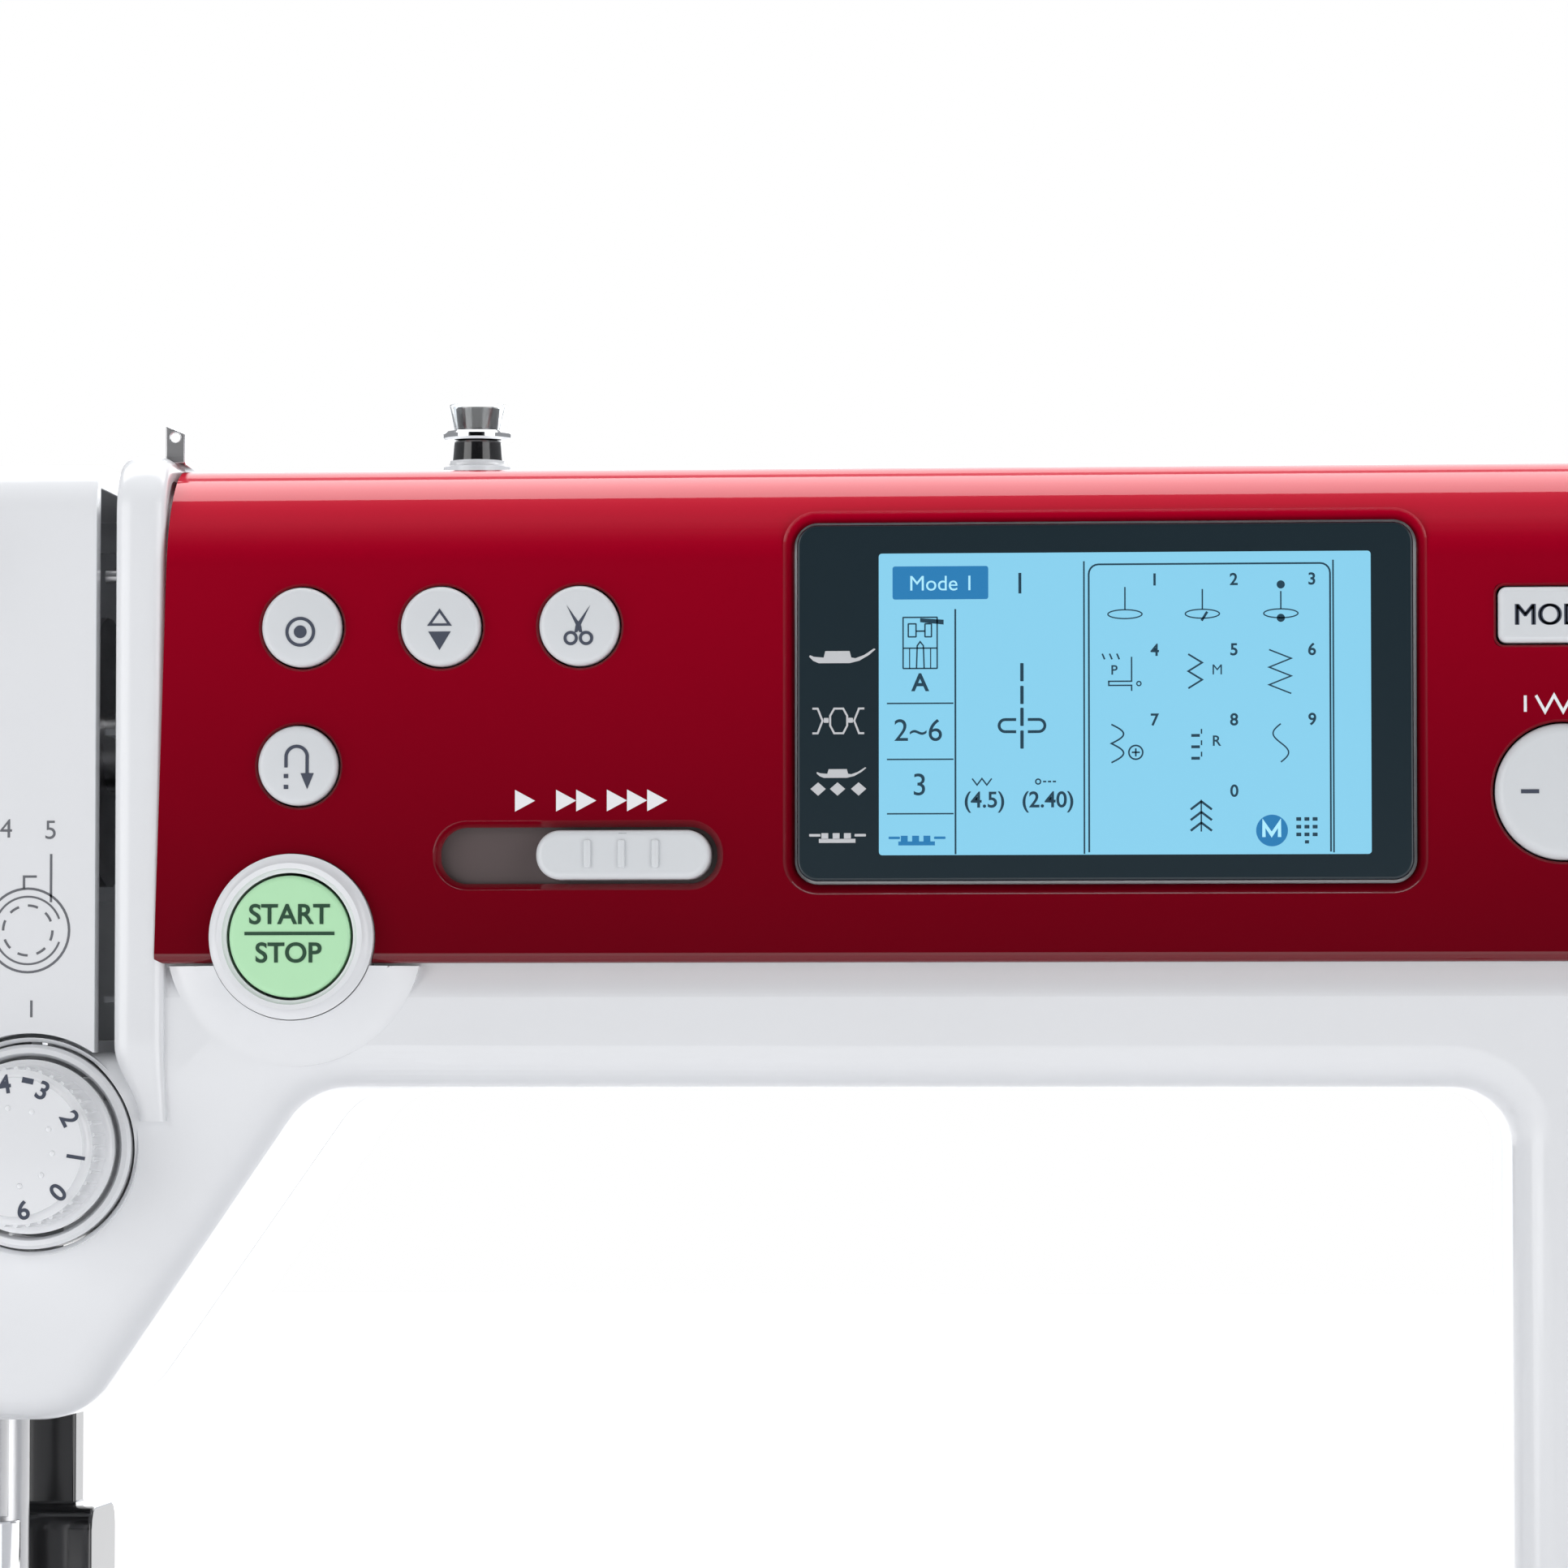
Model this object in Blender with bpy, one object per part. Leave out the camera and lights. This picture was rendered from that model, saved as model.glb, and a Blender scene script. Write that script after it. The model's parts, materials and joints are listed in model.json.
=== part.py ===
"""A household computerised free-arm sewing machine, as separate named pieces.

Metres, +Z up. X runs along the arm with the handwheel at +X, the operator sits at -Y, and the
machine stands on Z = 0. Every piece is one closed solid with a small gap to its neighbours.
"""

import math

import bmesh
import bpy
from mathutils import Vector

MM = 0.001
GAP = 0.3 * MM
WALL = 3 * MM
PAST = 2 * MM

# Heights, from the floor up.
FOOT_HEIGHT = 7.7 * MM
BASE_THICK = 6 * MM
BED_TOP = 80 * MM
THROAT_HEIGHT = 112 * MM
ARM_HEIGHT = 74.2 * MM
HEAD_DROP = 40 * MM
BASE_BOTTOM = FOOT_HEIGHT + GAP
BASE_TOP = BASE_BOTTOM + BASE_THICK
ARM_BOTTOM = BED_TOP + THROAT_HEIGHT
ARM_TOP = ARM_BOTTOM + ARM_HEIGHT
HEAD_BOTTOM = ARM_BOTTOM - HEAD_DROP
PILLAR_BOTTOM = BED_TOP + GAP

# Along the machine, left to right.
NEEDLE_X = -138 * MM
THROAT_REACH = 190 * MM
PILLAR_WIDTH = 131 * MM
FACE_WIDTH = 48.7 * MM
PILLAR_LEFT = NEEDLE_X + THROAT_REACH
RIGHT_X = PILLAR_LEFT + PILLAR_WIDTH
FACE_RIGHT = NEEDLE_X - 1.3 * MM
FACE_LEFT = FACE_RIGHT - FACE_WIDTH
HEAD_SPLIT = FACE_RIGHT + GAP
PLATE_LEFT = NEEDLE_X + 1.0 * MM
PLATE_RIGHT = NEEDLE_X + 23.2 * MM
RIB_LEFT = NEEDLE_X + 26.1 * MM
PANEL_LEFT = NEEDLE_X + 31.4 * MM
PANEL_RIGHT = RIGHT_X - 23 * MM

# Front to back. The free arm is as deep as the hook needs.
ARM_HALF = 50 * MM
BED_HALF = 85 * MM
HOOK_RADIUS = 17.5 * MM
HOOK_Y = -HOOK_RADIUS - 1.5 * MM
FREE_ARM_HALF = HOOK_RADIUS - HOOK_Y + 2 * WALL
EDGE_RADIUS = 5 * MM

# Control panel and what sits in it; most heights are shares of the panel's height.
PANEL_BOTTOM = ARM_BOTTOM + 14.6 * MM
PANEL_TOP = ARM_TOP - 0.4 * MM
PANEL_HEIGHT = PANEL_TOP - PANEL_BOTTOM
PANEL_PROUD = 1.5 * MM
PANEL_THICK = 2.5 * MM
PANEL_ROLL = 12 * MM
PANEL_TAIL = 3.5 * MM
PANEL_FRONT = -ARM_HALF - PANEL_PROUD
PANEL_BACK = PANEL_FRONT + PANEL_THICK
POCKET_FLOOR = PANEL_BACK + GAP
PANEL_WALL_BACK = POCKET_FLOOR + 3.7 * MM
ROLL_CENTRE = (PANEL_FRONT + PANEL_ROLL, PANEL_TOP - PANEL_ROLL)

KEY_RADIUS = 5.05 * MM
KEY_PROUD = 1.0 * MM
KEY_DOME = 0.4 * MM
KEY_ROW = PANEL_BOTTOM + 0.669 * PANEL_HEIGHT
KEY_LIST = {
    "lock_key": (NEEDLE_X + 48.1 * MM, KEY_ROW),
    "needle_key": (NEEDLE_X + 64.6 * MM, KEY_ROW),
    "cutter_key": (NEEDLE_X + 81.0 * MM, KEY_ROW),
    "reverse_key": (NEEDLE_X + 47.7 * MM, PANEL_BOTTOM + 0.393 * PANEL_HEIGHT),
}
KEY_BACK = PANEL_WALL_BACK + 2 * MM
START_X = NEEDLE_X + 47 * MM
START_Z = PANEL_BOTTOM + 3.1 * MM
START_RING = 9.8 * MM
START_RADIUS = 7.2 * MM
START_PROUD = 2.5 * MM
SLOT_LEFT = NEEDLE_X + 64.5 * MM
SLOT_LENGTH = 32.6 * MM
SLOT_HALF = 3.25 * MM
SLOT_Z = PANEL_BOTTOM + 0.2136 * PANEL_HEIGHT
KNOB_LENGTH = 20.5 * MM
KNOB_HALF = 2.9 * MM
KNOB_PROUD = 1.6 * MM
KNOB_STEM = 5 * MM
SCREEN_LEFT = NEEDLE_X + 106.6 * MM
SCREEN_WIDTH = 72.1 * MM
SCREEN_BOTTOM = PANEL_BOTTOM + 0.161 * PANEL_HEIGHT
SCREEN_HEIGHT = 0.707 * PANEL_HEIGHT
SCREEN_CORNER = 2.4 * MM
SCREEN_SUNK = 0.4 * MM
SCREEN_THICK = 2.0 * MM
LCD_INSET = 3.2 * MM
LCD_LEFT = 9.0 * MM
LCD_DEPTH = 4 * MM
MODE_LEFT = SCREEN_LEFT + SCREEN_WIDTH + 9.8 * MM
MODE_WIDTH = 13.8 * MM
MODE_HEIGHT = 6.5 * MM
MODE_BOTTOM = PANEL_BOTTOM + 0.626 * PANEL_HEIGHT
WIDTH_KEY_X = MODE_LEFT + 7.5 * MM
WIDTH_KEY_Z = PANEL_BOTTOM + 0.333 * PANEL_HEIGHT
WIDTH_KEY_RADIUS = 8 * MM
BOARD_Y = KEY_BACK + 4 * MM
BOARD_BOTTOM = PANEL_BOTTOM + 8 * MM
BOARD_TOP = PANEL_TOP - PANEL_ROLL - 2 * MM
BOARD_THICK = 1.6 * MM

# Tension dial, in a round well in the lower head.
DIAL_X = NEEDLE_X + 15.5 * MM
DIAL_Z = HEAD_BOTTOM + 33 * MM
DIAL_RADIUS = 10.3 * MM
DIAL_FACE = 9.1 * MM
DIAL_DEPTH = 10 * MM
DIAL_FRONT = -ARM_HALF - 9 * MM
DIAL_WELL = 12.4 * MM
DIAL_FLOOR = -ARM_HALF + 6.5 * MM
DIAL_SHAFT = 3 * MM
DISC_RADIUS = 7.5 * MM
SHELF_TOP = HEAD_BOTTOM + 43.8 * MM

# Drive train. The shaft lies as deep as its belt wheel needs.
WHEEL_PULLEY = 22 * MM
SHAFT_Z = ARM_TOP - WHEEL_PULLEY - 10 * MM
SHAFT_RADIUS = 5 * MM
CRANK_RADIUS = 17 * MM
CRANK_PIN = 15 * MM
CRANK_LEFT = NEEDLE_X + 10 * MM
CRANK_THICK = 6 * MM
CRANK_GATE = -CRANK_RADIUS - 3 * MM
PULLEY_RADIUS = 12 * MM
PULLEY_LEFT = PILLAR_LEFT + 38 * MM
PULLEY_WIDTH = 10 * MM
MOTOR_PULLEY = 5.6 * MM
DRIVE_LEFT = RIGHT_X - 23 * MM
DRIVE_WIDTH = 8 * MM
BELT_THICK = 2 * MM
MOTOR_Y = 29 * MM
MOTOR_Z = BED_TOP + 40 * MM
MOTOR_RADIUS = 16 * MM
MOTOR_LENGTH = 45 * MM
MOTOR_RIGHT = DRIVE_LEFT - 5 * MM
WHEEL_RADIUS = 32 * MM
WHEEL_THICK = 17 * MM

# Hook, under the needle plate and in front of the needle.
HOOK_TOP = BED_TOP - 8 * MM
HOOK_BOTTOM = BED_TOP - 25 * MM
LOWER_Z = BED_TOP - 39 * MM
LOWER_RADIUS = 4 * MM
GEAR_PITCH = 9 * MM
PINION_PITCH = 4.5 * MM
GEAR_TEETH = 24
PINION_TEETH = 12
ADDENDUM = 0.5 * MM
DEDENDUM = 1.0 * MM
GEAR_FACE = 0.7
BOBBIN_RADIUS = 10.3 * MM
BOBBIN_HUB = 4.6 * MM
BOBBIN_BORE = 3.1 * MM
BOBBIN_HEIGHT = 11.5 * MM
CASE_INNER = 11.2 * MM
CASE_OUTER = 15.1 * MM

# Needle bar, presser bar and foot.
BAR_RADIUS = 3.5 * MM
BAR_FIT = 0.3 * MM
PRESSER_Y = 14 * MM
NEEDLE_TIP = BED_TOP + 12 * MM
NEEDLE_LENGTH = 31.7 * MM
CLAMP_HEIGHT = 14 * MM
CLAMP_RADIUS = 5 * MM
BAR_TOP = SHAFT_Z + 24 * MM
FOOT_SOLE = BED_TOP + 1.2 * MM
FOOT_THICK = 2 * MM
FOOT_HALF = 10 * MM
FOOT_PIN_Y = 10 * MM
FOOT_PIN_Z = FOOT_SOLE + 5 * MM

# Free arm, needle plate, extension table.
FREE_ARM_LEFT = NEEDLE_X - 48 * MM
FREE_ARM_BOTTOM = BED_TOP - 54 * MM
PLATE_THICK = 3 * MM
PLATE_HALF = 27 * MM
PLATE_FRONT = -10 * MM
PLATE_BACK = 35 * MM
COVER_FRONT = -FREE_ARM_HALF + 2.7 * MM
TABLE_LEFT = FREE_ARM_LEFT - 14 * MM
TABLE_BOTTOM = BASE_TOP + 2 * MM
TABLE_RIGHT = PILLAR_LEFT - 3 * MM
TABLE_WALL = 5 * MM

# Spool well, handle and other fittings on the arm.
TRAY_LEFT = NEEDLE_X + 78 * MM
TRAY_RIGHT = PULLEY_LEFT - 3 * MM
TRAY_FRONT = 9 * MM
TRAY_BACK = 41 * MM
TRAY_DEPTH = 43 * MM
TRAY_WALL = 2 * MM
LID_THICK = 3 * MM
LID_TOP = ARM_TOP - 0.2 * MM
SPOOL_Z = ARM_TOP - 24 * MM
SPOOL_Y = (TRAY_FRONT + TRAY_BACK) / 2
SPOOL_RADIUS = 2.5 * MM
CAP_RADIUS = 13 * MM
HANDLE_LEFT = NEEDLE_X + 98 * MM
HANDLE_WIDTH = 140 * MM
HANDLE_DROP = 52 * MM
HANDLE_BAR = 9 * MM
HANDLE_Y = ARM_HALF + 6 * MM
HANDLE_Z = ARM_TOP - 14 * MM
LUG_THICK = 6 * MM
LIFTER_Y = ARM_HALF - 14 * MM
LIFTER_Z = HEAD_BOTTOM + 8 * MM
HANDLE_PIN = 3 * MM
WINDER_X = RIGHT_X - 53 * MM
WINDER_Y = -20 * MM
WINDER_STEM = 3 * MM
WINDER_PIN = 2.8 * MM
WINDER_HEIGHT = 18 * MM

# Mains inlet and switch, in the right side of the bed.
SOCKET_SPAN = (16 * MM, 44 * MM)
SOCKET_HEIGHT = (BED_TOP - 45 * MM, BED_TOP - 21 * MM)
SWITCH_SPAN = (-16 * MM, 4 * MM)
SWITCH_HEIGHT = (BED_TOP - 43 * MM, BED_TOP - 23 * MM)

FINISHES = {
    "white_plastic": ((0.86, 0.87, 0.89), 0.25, 0.0),
    "grey_plastic": ((0.55, 0.57, 0.6), 0.4, 0.0),
    "red_panel": ((0.35, 0.002, 0.02), 0.08, 0.0),
    "black_plastic": ((0.02, 0.02, 0.022), 0.2, 0.0),
    "steel": ((0.62, 0.62, 0.63), 0.3, 1.0),
    "chrome": ((0.8, 0.8, 0.8), 0.08, 1.0),
    "cast_frame": ((0.55, 0.56, 0.57), 0.5, 1.0),
    "rubber": ((0.03, 0.03, 0.03), 0.8, 0.0),
    "start_lens": ((0.45, 0.8, 0.5), 0.2, 0.0),
    "screen_glass": ((0.02, 0.03, 0.04), 0.05, 0.0),
    "lcd": ((0.3, 0.7, 0.9), 0.3, 0.0),
    "board": ((0.02, 0.25, 0.08), 0.5, 0.0),
    "clear_plastic": ((0.8, 0.85, 0.88), 0.1, 0.0),
}


def clear_scene():
    for obj in list(bpy.data.objects):
        bpy.data.objects.remove(obj, do_unlink=True)


def finish_of(name):
    """The material of this name, made on first use."""
    if name in bpy.data.materials:
        return bpy.data.materials[name]
    colour, roughness, metallic = FINISHES[name]
    made = bpy.data.materials.new(name)
    made.use_nodes = True
    shader = made.node_tree.nodes["Principled BSDF"]
    shader.inputs["Base Color"].default_value = (*colour, 1)
    shader.inputs["Roughness"].default_value = roughness
    shader.inputs["Metallic"].default_value = metallic
    return made


# ---- outlines: closed loops of (u, v) in the plane across an axis -------------------------------


def rounded(corners, steps=4):
    """An outline from corners (u, v, radius), each radius an arc tangent to both its sides."""
    points = []
    for i, (u, v, radius) in enumerate(corners):
        here = Vector((u, v))
        if not radius:
            points.append((u, v))
            continue
        before = (Vector(corners[i - 1][:2]) - here).normalized()
        after = (Vector(corners[(i + 1) % len(corners)][:2]) - here).normalized()
        half = before.angle(after) / 2
        centre = here + (before + after).normalized() * radius / math.sin(half)
        start = here + before * radius / math.tan(half) - centre
        end = here + after * radius / math.tan(half) - centre
        turn = math.atan2(start.x * end.y - start.y * end.x, start.dot(end))
        for k in range(steps + 1):
            a = turn * k / steps
            u1 = centre.x + start.x * math.cos(a) - start.y * math.sin(a)
            v1 = centre.y + start.x * math.sin(a) + start.y * math.cos(a)
            points.append((u1, v1))
    return points


def inset(points, depth):
    """The outline moved inwards by depth, each corner along its mitre."""
    n = len(points)
    area = sum(points[i - 1][0] * points[i][1] - points[i][0] * points[i - 1][1] for i in range(n))
    side = 1 if area > 0 else -1
    moved = []
    for i in range(n):
        here = Vector(points[i])
        into = (here - Vector(points[i - 1])).normalized()
        out = (Vector(points[(i + 1) % n]) - here).normalized()
        n0 = Vector((-into.y, into.x)) * side
        n1 = Vector((-out.y, out.x)) * side
        moved.append(tuple(here + (n0 + n1) * depth / (1 + n0.dot(n1))))
    return moved


def rectangle(u0, u1, v0, v1, radius=0, steps=4):
    return rounded([(u0, v0, radius), (u1, v0, radius), (u1, v1, radius), (u0, v1, radius)], steps)


def circle(centre, radius, segments=24):
    turns = [2 * math.pi * (k + 0.5) / segments for k in range(segments)]
    return [(centre[0] + radius * math.cos(a), centre[1] + radius * math.sin(a)) for a in turns]


def belt_outline(c1, r1, c2, r2, steps=14):
    """The loop round two circles, with straight runs touching both."""
    along = Vector(c2) - Vector(c1)
    lean = math.atan2(along.y, along.x)
    wrap = math.acos((r1 - r2) / along.length)
    points = []
    for centre, radius, start, sweep in (
        (c1, r1, lean + wrap, 2 * math.pi - 2 * wrap),
        (c2, r2, lean - wrap, 2 * wrap),
    ):
        for k in range(steps + 1):
            a = start + sweep * k / steps
            points.append((centre[0] + radius * math.cos(a), centre[1] + radius * math.sin(a)))
    return points


def gear_outline(teeth, pitch, phase):
    """A toothed loop about the axis: each tooth has straight flanks and a narrow flat tip."""
    step = 2 * math.pi / teeth
    flank = ((-0.26, -DEDENDUM), (-0.13, ADDENDUM), (0.13, ADDENDUM), (0.26, -DEDENDUM))
    points = []
    for i in range(teeth):
        for part, height in flank:
            a = (i + phase + part) * step
            points.append(((pitch + height) * math.cos(a), (pitch + height) * math.sin(a)))
    return points


# ---- solids, as bmeshes in world space ----------------------------------------------------------


def place(axis, w, u, v):
    """The point (u, v) of the plane across the axis, at w along it."""
    return {"X": (w, u, v), "Y": (u, w, v), "Z": (u, v, w)}[axis]


def loft(axis, rings, closed=False):
    """A solid through rings (w, outline) of equal count, capped unless the rings close on themselves."""
    shape = bmesh.new()
    loops = [[shape.verts.new(place(axis, w, *p)) for p in outline] for w, outline in rings]
    pairs = list(zip(loops, loops[1:]))
    if closed:
        pairs.append((loops[-1], loops[0]))
    for low, high in pairs:
        for i in range(len(low)):
            shape.faces.new((low[i - 1], low[i], high[i], high[i - 1]))
    if not closed:
        shape.faces.new(loops[0])
        shape.faces.new(loops[-1])
    bmesh.ops.recalc_face_normals(shape, faces=shape.faces)
    return shape


def prism(axis, outline, low, high):
    return loft(axis, [(low, outline), (high, outline)])


def soft_prism(axis, outline, flat, end, radius, steps=3):
    """A prism whose far end has its edge rounded to a radius."""
    way = 1 if end > flat else -1
    rings = [(flat, outline)]
    for k in range(steps + 1):
        a = math.pi / 2 * k / steps
        w = end - way * radius * (1 - math.sin(a))
        rings.append((w, inset(outline, radius * (1 - math.cos(a)))))
    return loft(axis, rings)


def box(x0, x1, y0, y1, z0, z1):
    return prism("Z", rectangle(x0, x1, y0, y1), z0, z1)


def room(x0, x1, y0, y1, z0, z1, radius):
    """A hollow with upright rounded corners."""
    return prism("Z", rectangle(x0, x1, y0, y1, radius), z0, z1)


def rod(axis, centre, low, high, radius, segments=24):
    return prism(axis, circle(centre, radius, segments), low, high)


def turned(axis, centre, profile, segments=24, closed=False):
    """A round solid from a profile of (place along the axis, radius)."""
    rings = [(w, circle(centre, radius, segments)) for w, radius in profile]
    return loft(axis, rings, closed)


def bevel_gear(axis, apex, w_apex, teeth, pitch, other, phase):
    """A straight bevel gear: the toothed loop at its mate's pitch radius from the apex, drawn to it."""
    outline = gear_outline(teeth, pitch, phase)
    rings = []
    for share in (GEAR_FACE, 1):
        ring = [(apex[0] + u * share, apex[1] + v * share) for u, v in outline]
        rings.append((w_apex + other * share, ring))
    return loft(axis, rings)


# ---- objects ------------------------------------------------------------------------------------


def into_scene(name, shape, pivot=(0, 0, 0)):
    """An object of this shape, with its origin at the pivot and its place unchanged."""
    bmesh.ops.translate(shape, verts=shape.verts, vec=-Vector(pivot))
    mesh = bpy.data.meshes.new(name)
    shape.to_mesh(mesh)
    shape.free()
    obj = bpy.data.objects.new(name, mesh)
    obj.location = pivot
    bpy.context.scene.collection.objects.link(obj)
    return obj


def piece(name, shape, finish, pivot=(0, 0, 0), joined=(), cuts=()):
    """A finished piece: the shape, then the shapes joined to it, less the shapes cut from it."""
    obj = into_scene(name, shape, pivot)
    obj.data.materials.append(finish_of(finish))
    for word, others in (("UNION", joined), ("DIFFERENCE", cuts)):
        for k, other in enumerate(others):
            helper = into_scene(f"{name}_{word.lower()}_{k}", other)
            helper.hide_render = True
            helper.display_type = "WIRE"
            step = obj.modifiers.new(helper.name, "BOOLEAN")
            step.operation = word
            step.object = helper
    obj.data.shade_smooth()
    obj.data.set_sharp_from_angle(angle=math.radians(35))
    return obj


# ---- casings ------------------------------------------------------------------------------------


def head_outline(left):
    """Arm, pillar and head as one loop of (x, z), with the head's slanted right side."""
    lean = 27.7 * MM
    bottom_x = NEEDLE_X + 20.7 * MM
    return rounded(
        [
            (PILLAR_LEFT, PILLAR_BOTTOM, 0),
            (RIGHT_X, PILLAR_BOTTOM, 0),
            (RIGHT_X, ARM_TOP, 8 * MM),
            *left,
            (bottom_x, HEAD_BOTTOM, 10.5 * MM),
            (bottom_x + lean, ARM_BOTTOM, 9 * MM),
            (PILLAR_LEFT, ARM_BOTTOM, 7 * MM),
        ]
    )


def hollow_of(outline, left, top):
    """The inside of a casing: the outline less its wall, open towards the face cover and the bed."""
    inner = []
    for x, z in inset(outline, WALL):
        x = left - PAST if x < left + WALL + GAP else x
        z = PILLAR_BOTTOM - PAST if z < PILLAR_BOTTOM + WALL + GAP else z
        inner.append((x, min(z, top)))
    return inner


def bar_clearance(front, back):
    """The mouth in the head's floor that the needle and presser bars pass through."""
    return box(NEEDLE_X - 9 * MM, NEEDLE_X + 8 * MM, front, back, HEAD_BOTTOM - PAST, SHELF_TOP + PAST)


def lifter_notch():
    x0, x1 = NEEDLE_X - 11.3 * MM, NEEDLE_X + 11.3 * MM
    return box(x0, x1, LIFTER_Y - 8 * MM, ARM_HALF + PAST, HEAD_BOTTOM - PAST, LIFTER_Z + 12 * MM)


def shaft_exit():
    return rod("X", (0, SHAFT_Z), RIGHT_X - WALL - PAST, RIGHT_X + PAST, SHAFT_RADIUS + 1 * MM)


def panel_pocket():
    """All that lies in front of the control panel's back face, along the panel's length."""
    radius = PANEL_ROLL - PANEL_THICK - GAP
    y, z = ROLL_CENTRE
    tail = y + PANEL_TAIL + GAP
    past_y, past_z = -ARM_HALF - 3 * PAST, ARM_TOP + PAST
    outline = rounded(
        [
            (POCKET_FLOOR, PANEL_BOTTOM - GAP, 0),
            (POCKET_FLOOR, z + radius, radius),
            (tail, z + radius, 0),
            (tail, past_z, 0),
            (past_y, past_z, 0),
            (past_y, PANEL_BOTTOM - GAP, 0),
        ],
        6,
    )
    return prism("X", outline, PANEL_LEFT - GAP, PANEL_RIGHT + GAP)


def control_holes(fit, low, high):
    """Holes for every control of the panel, wider than the control by a fit."""
    holes = [rod("Y", at, low, high, KEY_RADIUS + fit, 20) for at in KEY_LIST.values()]
    holes.append(rod("Y", (START_X, START_Z), low, high, START_RING + fit))
    holes.append(rod("Y", (WIDTH_KEY_X, WIDTH_KEY_Z), low, high, WIDTH_KEY_RADIUS + fit + GAP))
    x0, x1 = MODE_LEFT - fit, MODE_LEFT + MODE_WIDTH + fit
    z0, z1 = MODE_BOTTOM - fit, MODE_BOTTOM + MODE_HEIGHT + fit
    holes.append(box(x0, x1, low, high, z0, z1))
    return holes


def screen_outline(grow):
    x0, x1 = SCREEN_LEFT - grow, SCREEN_LEFT + SCREEN_WIDTH + grow
    z0, z1 = SCREEN_BOTTOM - grow, SCREEN_BOTTOM + SCREEN_HEIGHT + grow
    return rectangle(x0, x1, z0, z1, SCREEN_CORNER + grow, 3)


def lcd_box(grow, low, high):
    x0, x1 = SCREEN_LEFT + LCD_LEFT, SCREEN_LEFT + SCREEN_WIDTH - LCD_INSET
    z0, z1 = SCREEN_BOTTOM + LCD_INSET, SCREEN_BOTTOM + SCREEN_HEIGHT - LCD_INSET
    return box(x0 - grow, x1 + grow, low, high, z0 - grow, z1 + grow)


def front_shell():
    left = [
        (RIB_LEFT, ARM_TOP, 6 * MM),
        (RIB_LEFT, SHELF_TOP, 0),
        (HEAD_SPLIT, SHELF_TOP, 0),
        (HEAD_SPLIT, HEAD_BOTTOM, 0),
    ]
    outline = head_outline(left)
    shape = soft_prism("Y", outline, -GAP / 2, -ARM_HALF, EDGE_RADIUS)
    deep = PANEL_WALL_BACK
    deep_top = ROLL_CENTRE[1] + 5.4 * MM
    inner = hollow_of(outline, HEAD_SPLIT, deep_top)
    head_slope = [
        (-ARM_HALF - 4 * PAST, ARM_BOTTOM + 3 * MM),
        (-ARM_HALF, ARM_BOTTOM + 3 * MM),
        (-ARM_HALF + 5 * MM, HEAD_BOTTOM - PAST),
        (-ARM_HALF - 4 * PAST, HEAD_BOTTOM - PAST),
    ]
    slot_lift = 1.6 * MM
    cuts = [
        prism("Y", inner, deep, PAST),
        panel_pocket(),
        prism("X", head_slope, HEAD_SPLIT - PAST, NEEDLE_X + 48 * MM),
        rod("Y", (DIAL_X, DIAL_Z), -ARM_HALF - PAST, DIAL_FLOOR, DIAL_WELL, 32),
        rod("Y", (DIAL_X, DIAL_Z), DIAL_FLOOR - PAST, deep + PAST, DIAL_SHAFT + 0.5 * MM),
        bar_clearance(-9 * MM, PAST),
        shaft_exit(),
        box(RIB_LEFT - PAST, RIB_LEFT + WALL + PAST, CRANK_GATE, PAST, SHELF_TOP, deep_top),
        lcd_box(2 * GAP, POCKET_FLOOR - PAST, deep + PAST),
        rod("Z", (WINDER_X, WINDER_Y), ROLL_CENTRE[1], ARM_TOP + PAST, WINDER_STEM + 0.5 * MM),
        box(SLOT_LEFT, SLOT_LEFT + SLOT_LENGTH, POCKET_FLOOR - PAST, deep + PAST,
            SLOT_Z - slot_lift - 2 * GAP, SLOT_Z + slot_lift + 2 * GAP),
        *control_holes(2 * GAP, -ARM_HALF - 3 * PAST, deep + PAST),
    ]
    piece("front_shell", shape, "white_plastic", cuts=cuts)


def rear_shell():
    left = [(HEAD_SPLIT, ARM_TOP, 0), (HEAD_SPLIT, HEAD_BOTTOM, 0)]
    outline = head_outline(left)
    shape = soft_prism("Y", outline, GAP / 2, ARM_HALF, EDGE_RADIUS)
    inner = hollow_of(outline, HEAD_SPLIT, ARM_TOP)
    inner = [(x, min(z, ARM_TOP - WALL)) for x, z in inner]
    lugs = []
    holes = []
    lug_back = HANDLE_Y + HANDLE_BAR / 2 + 1 * MM
    for x in (HANDLE_LEFT - GAP - LUG_THICK, HANDLE_LEFT + HANDLE_WIDTH + GAP):
        z0, z1 = HANDLE_Z - 7 * MM, HANDLE_Z + 7 * MM
        lugs.append(box(x, x + LUG_THICK, ARM_HALF - WALL / 2, lug_back, z0, z1))
        holes.append(
            rod("X", (HANDLE_Y, HANDLE_Z), x - PAST, x + LUG_THICK + PAST, HANDLE_PIN + GAP, 16)
        )
    cuts = [
        prism("Y", inner, -PAST, ARM_HALF - WALL),
        bar_clearance(-PAST, 22 * MM),
        lifter_notch(),
        shaft_exit(),
        box(TRAY_LEFT - 2 * GAP, TRAY_RIGHT + 2 * GAP, TRAY_FRONT - 2 * GAP, TRAY_BACK + 3 * GAP,
            ARM_TOP - 2 * WALL, ARM_TOP + PAST),
        *holes,
    ]
    piece("rear_shell", shape, "white_plastic", joined=lugs, cuts=cuts)


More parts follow.
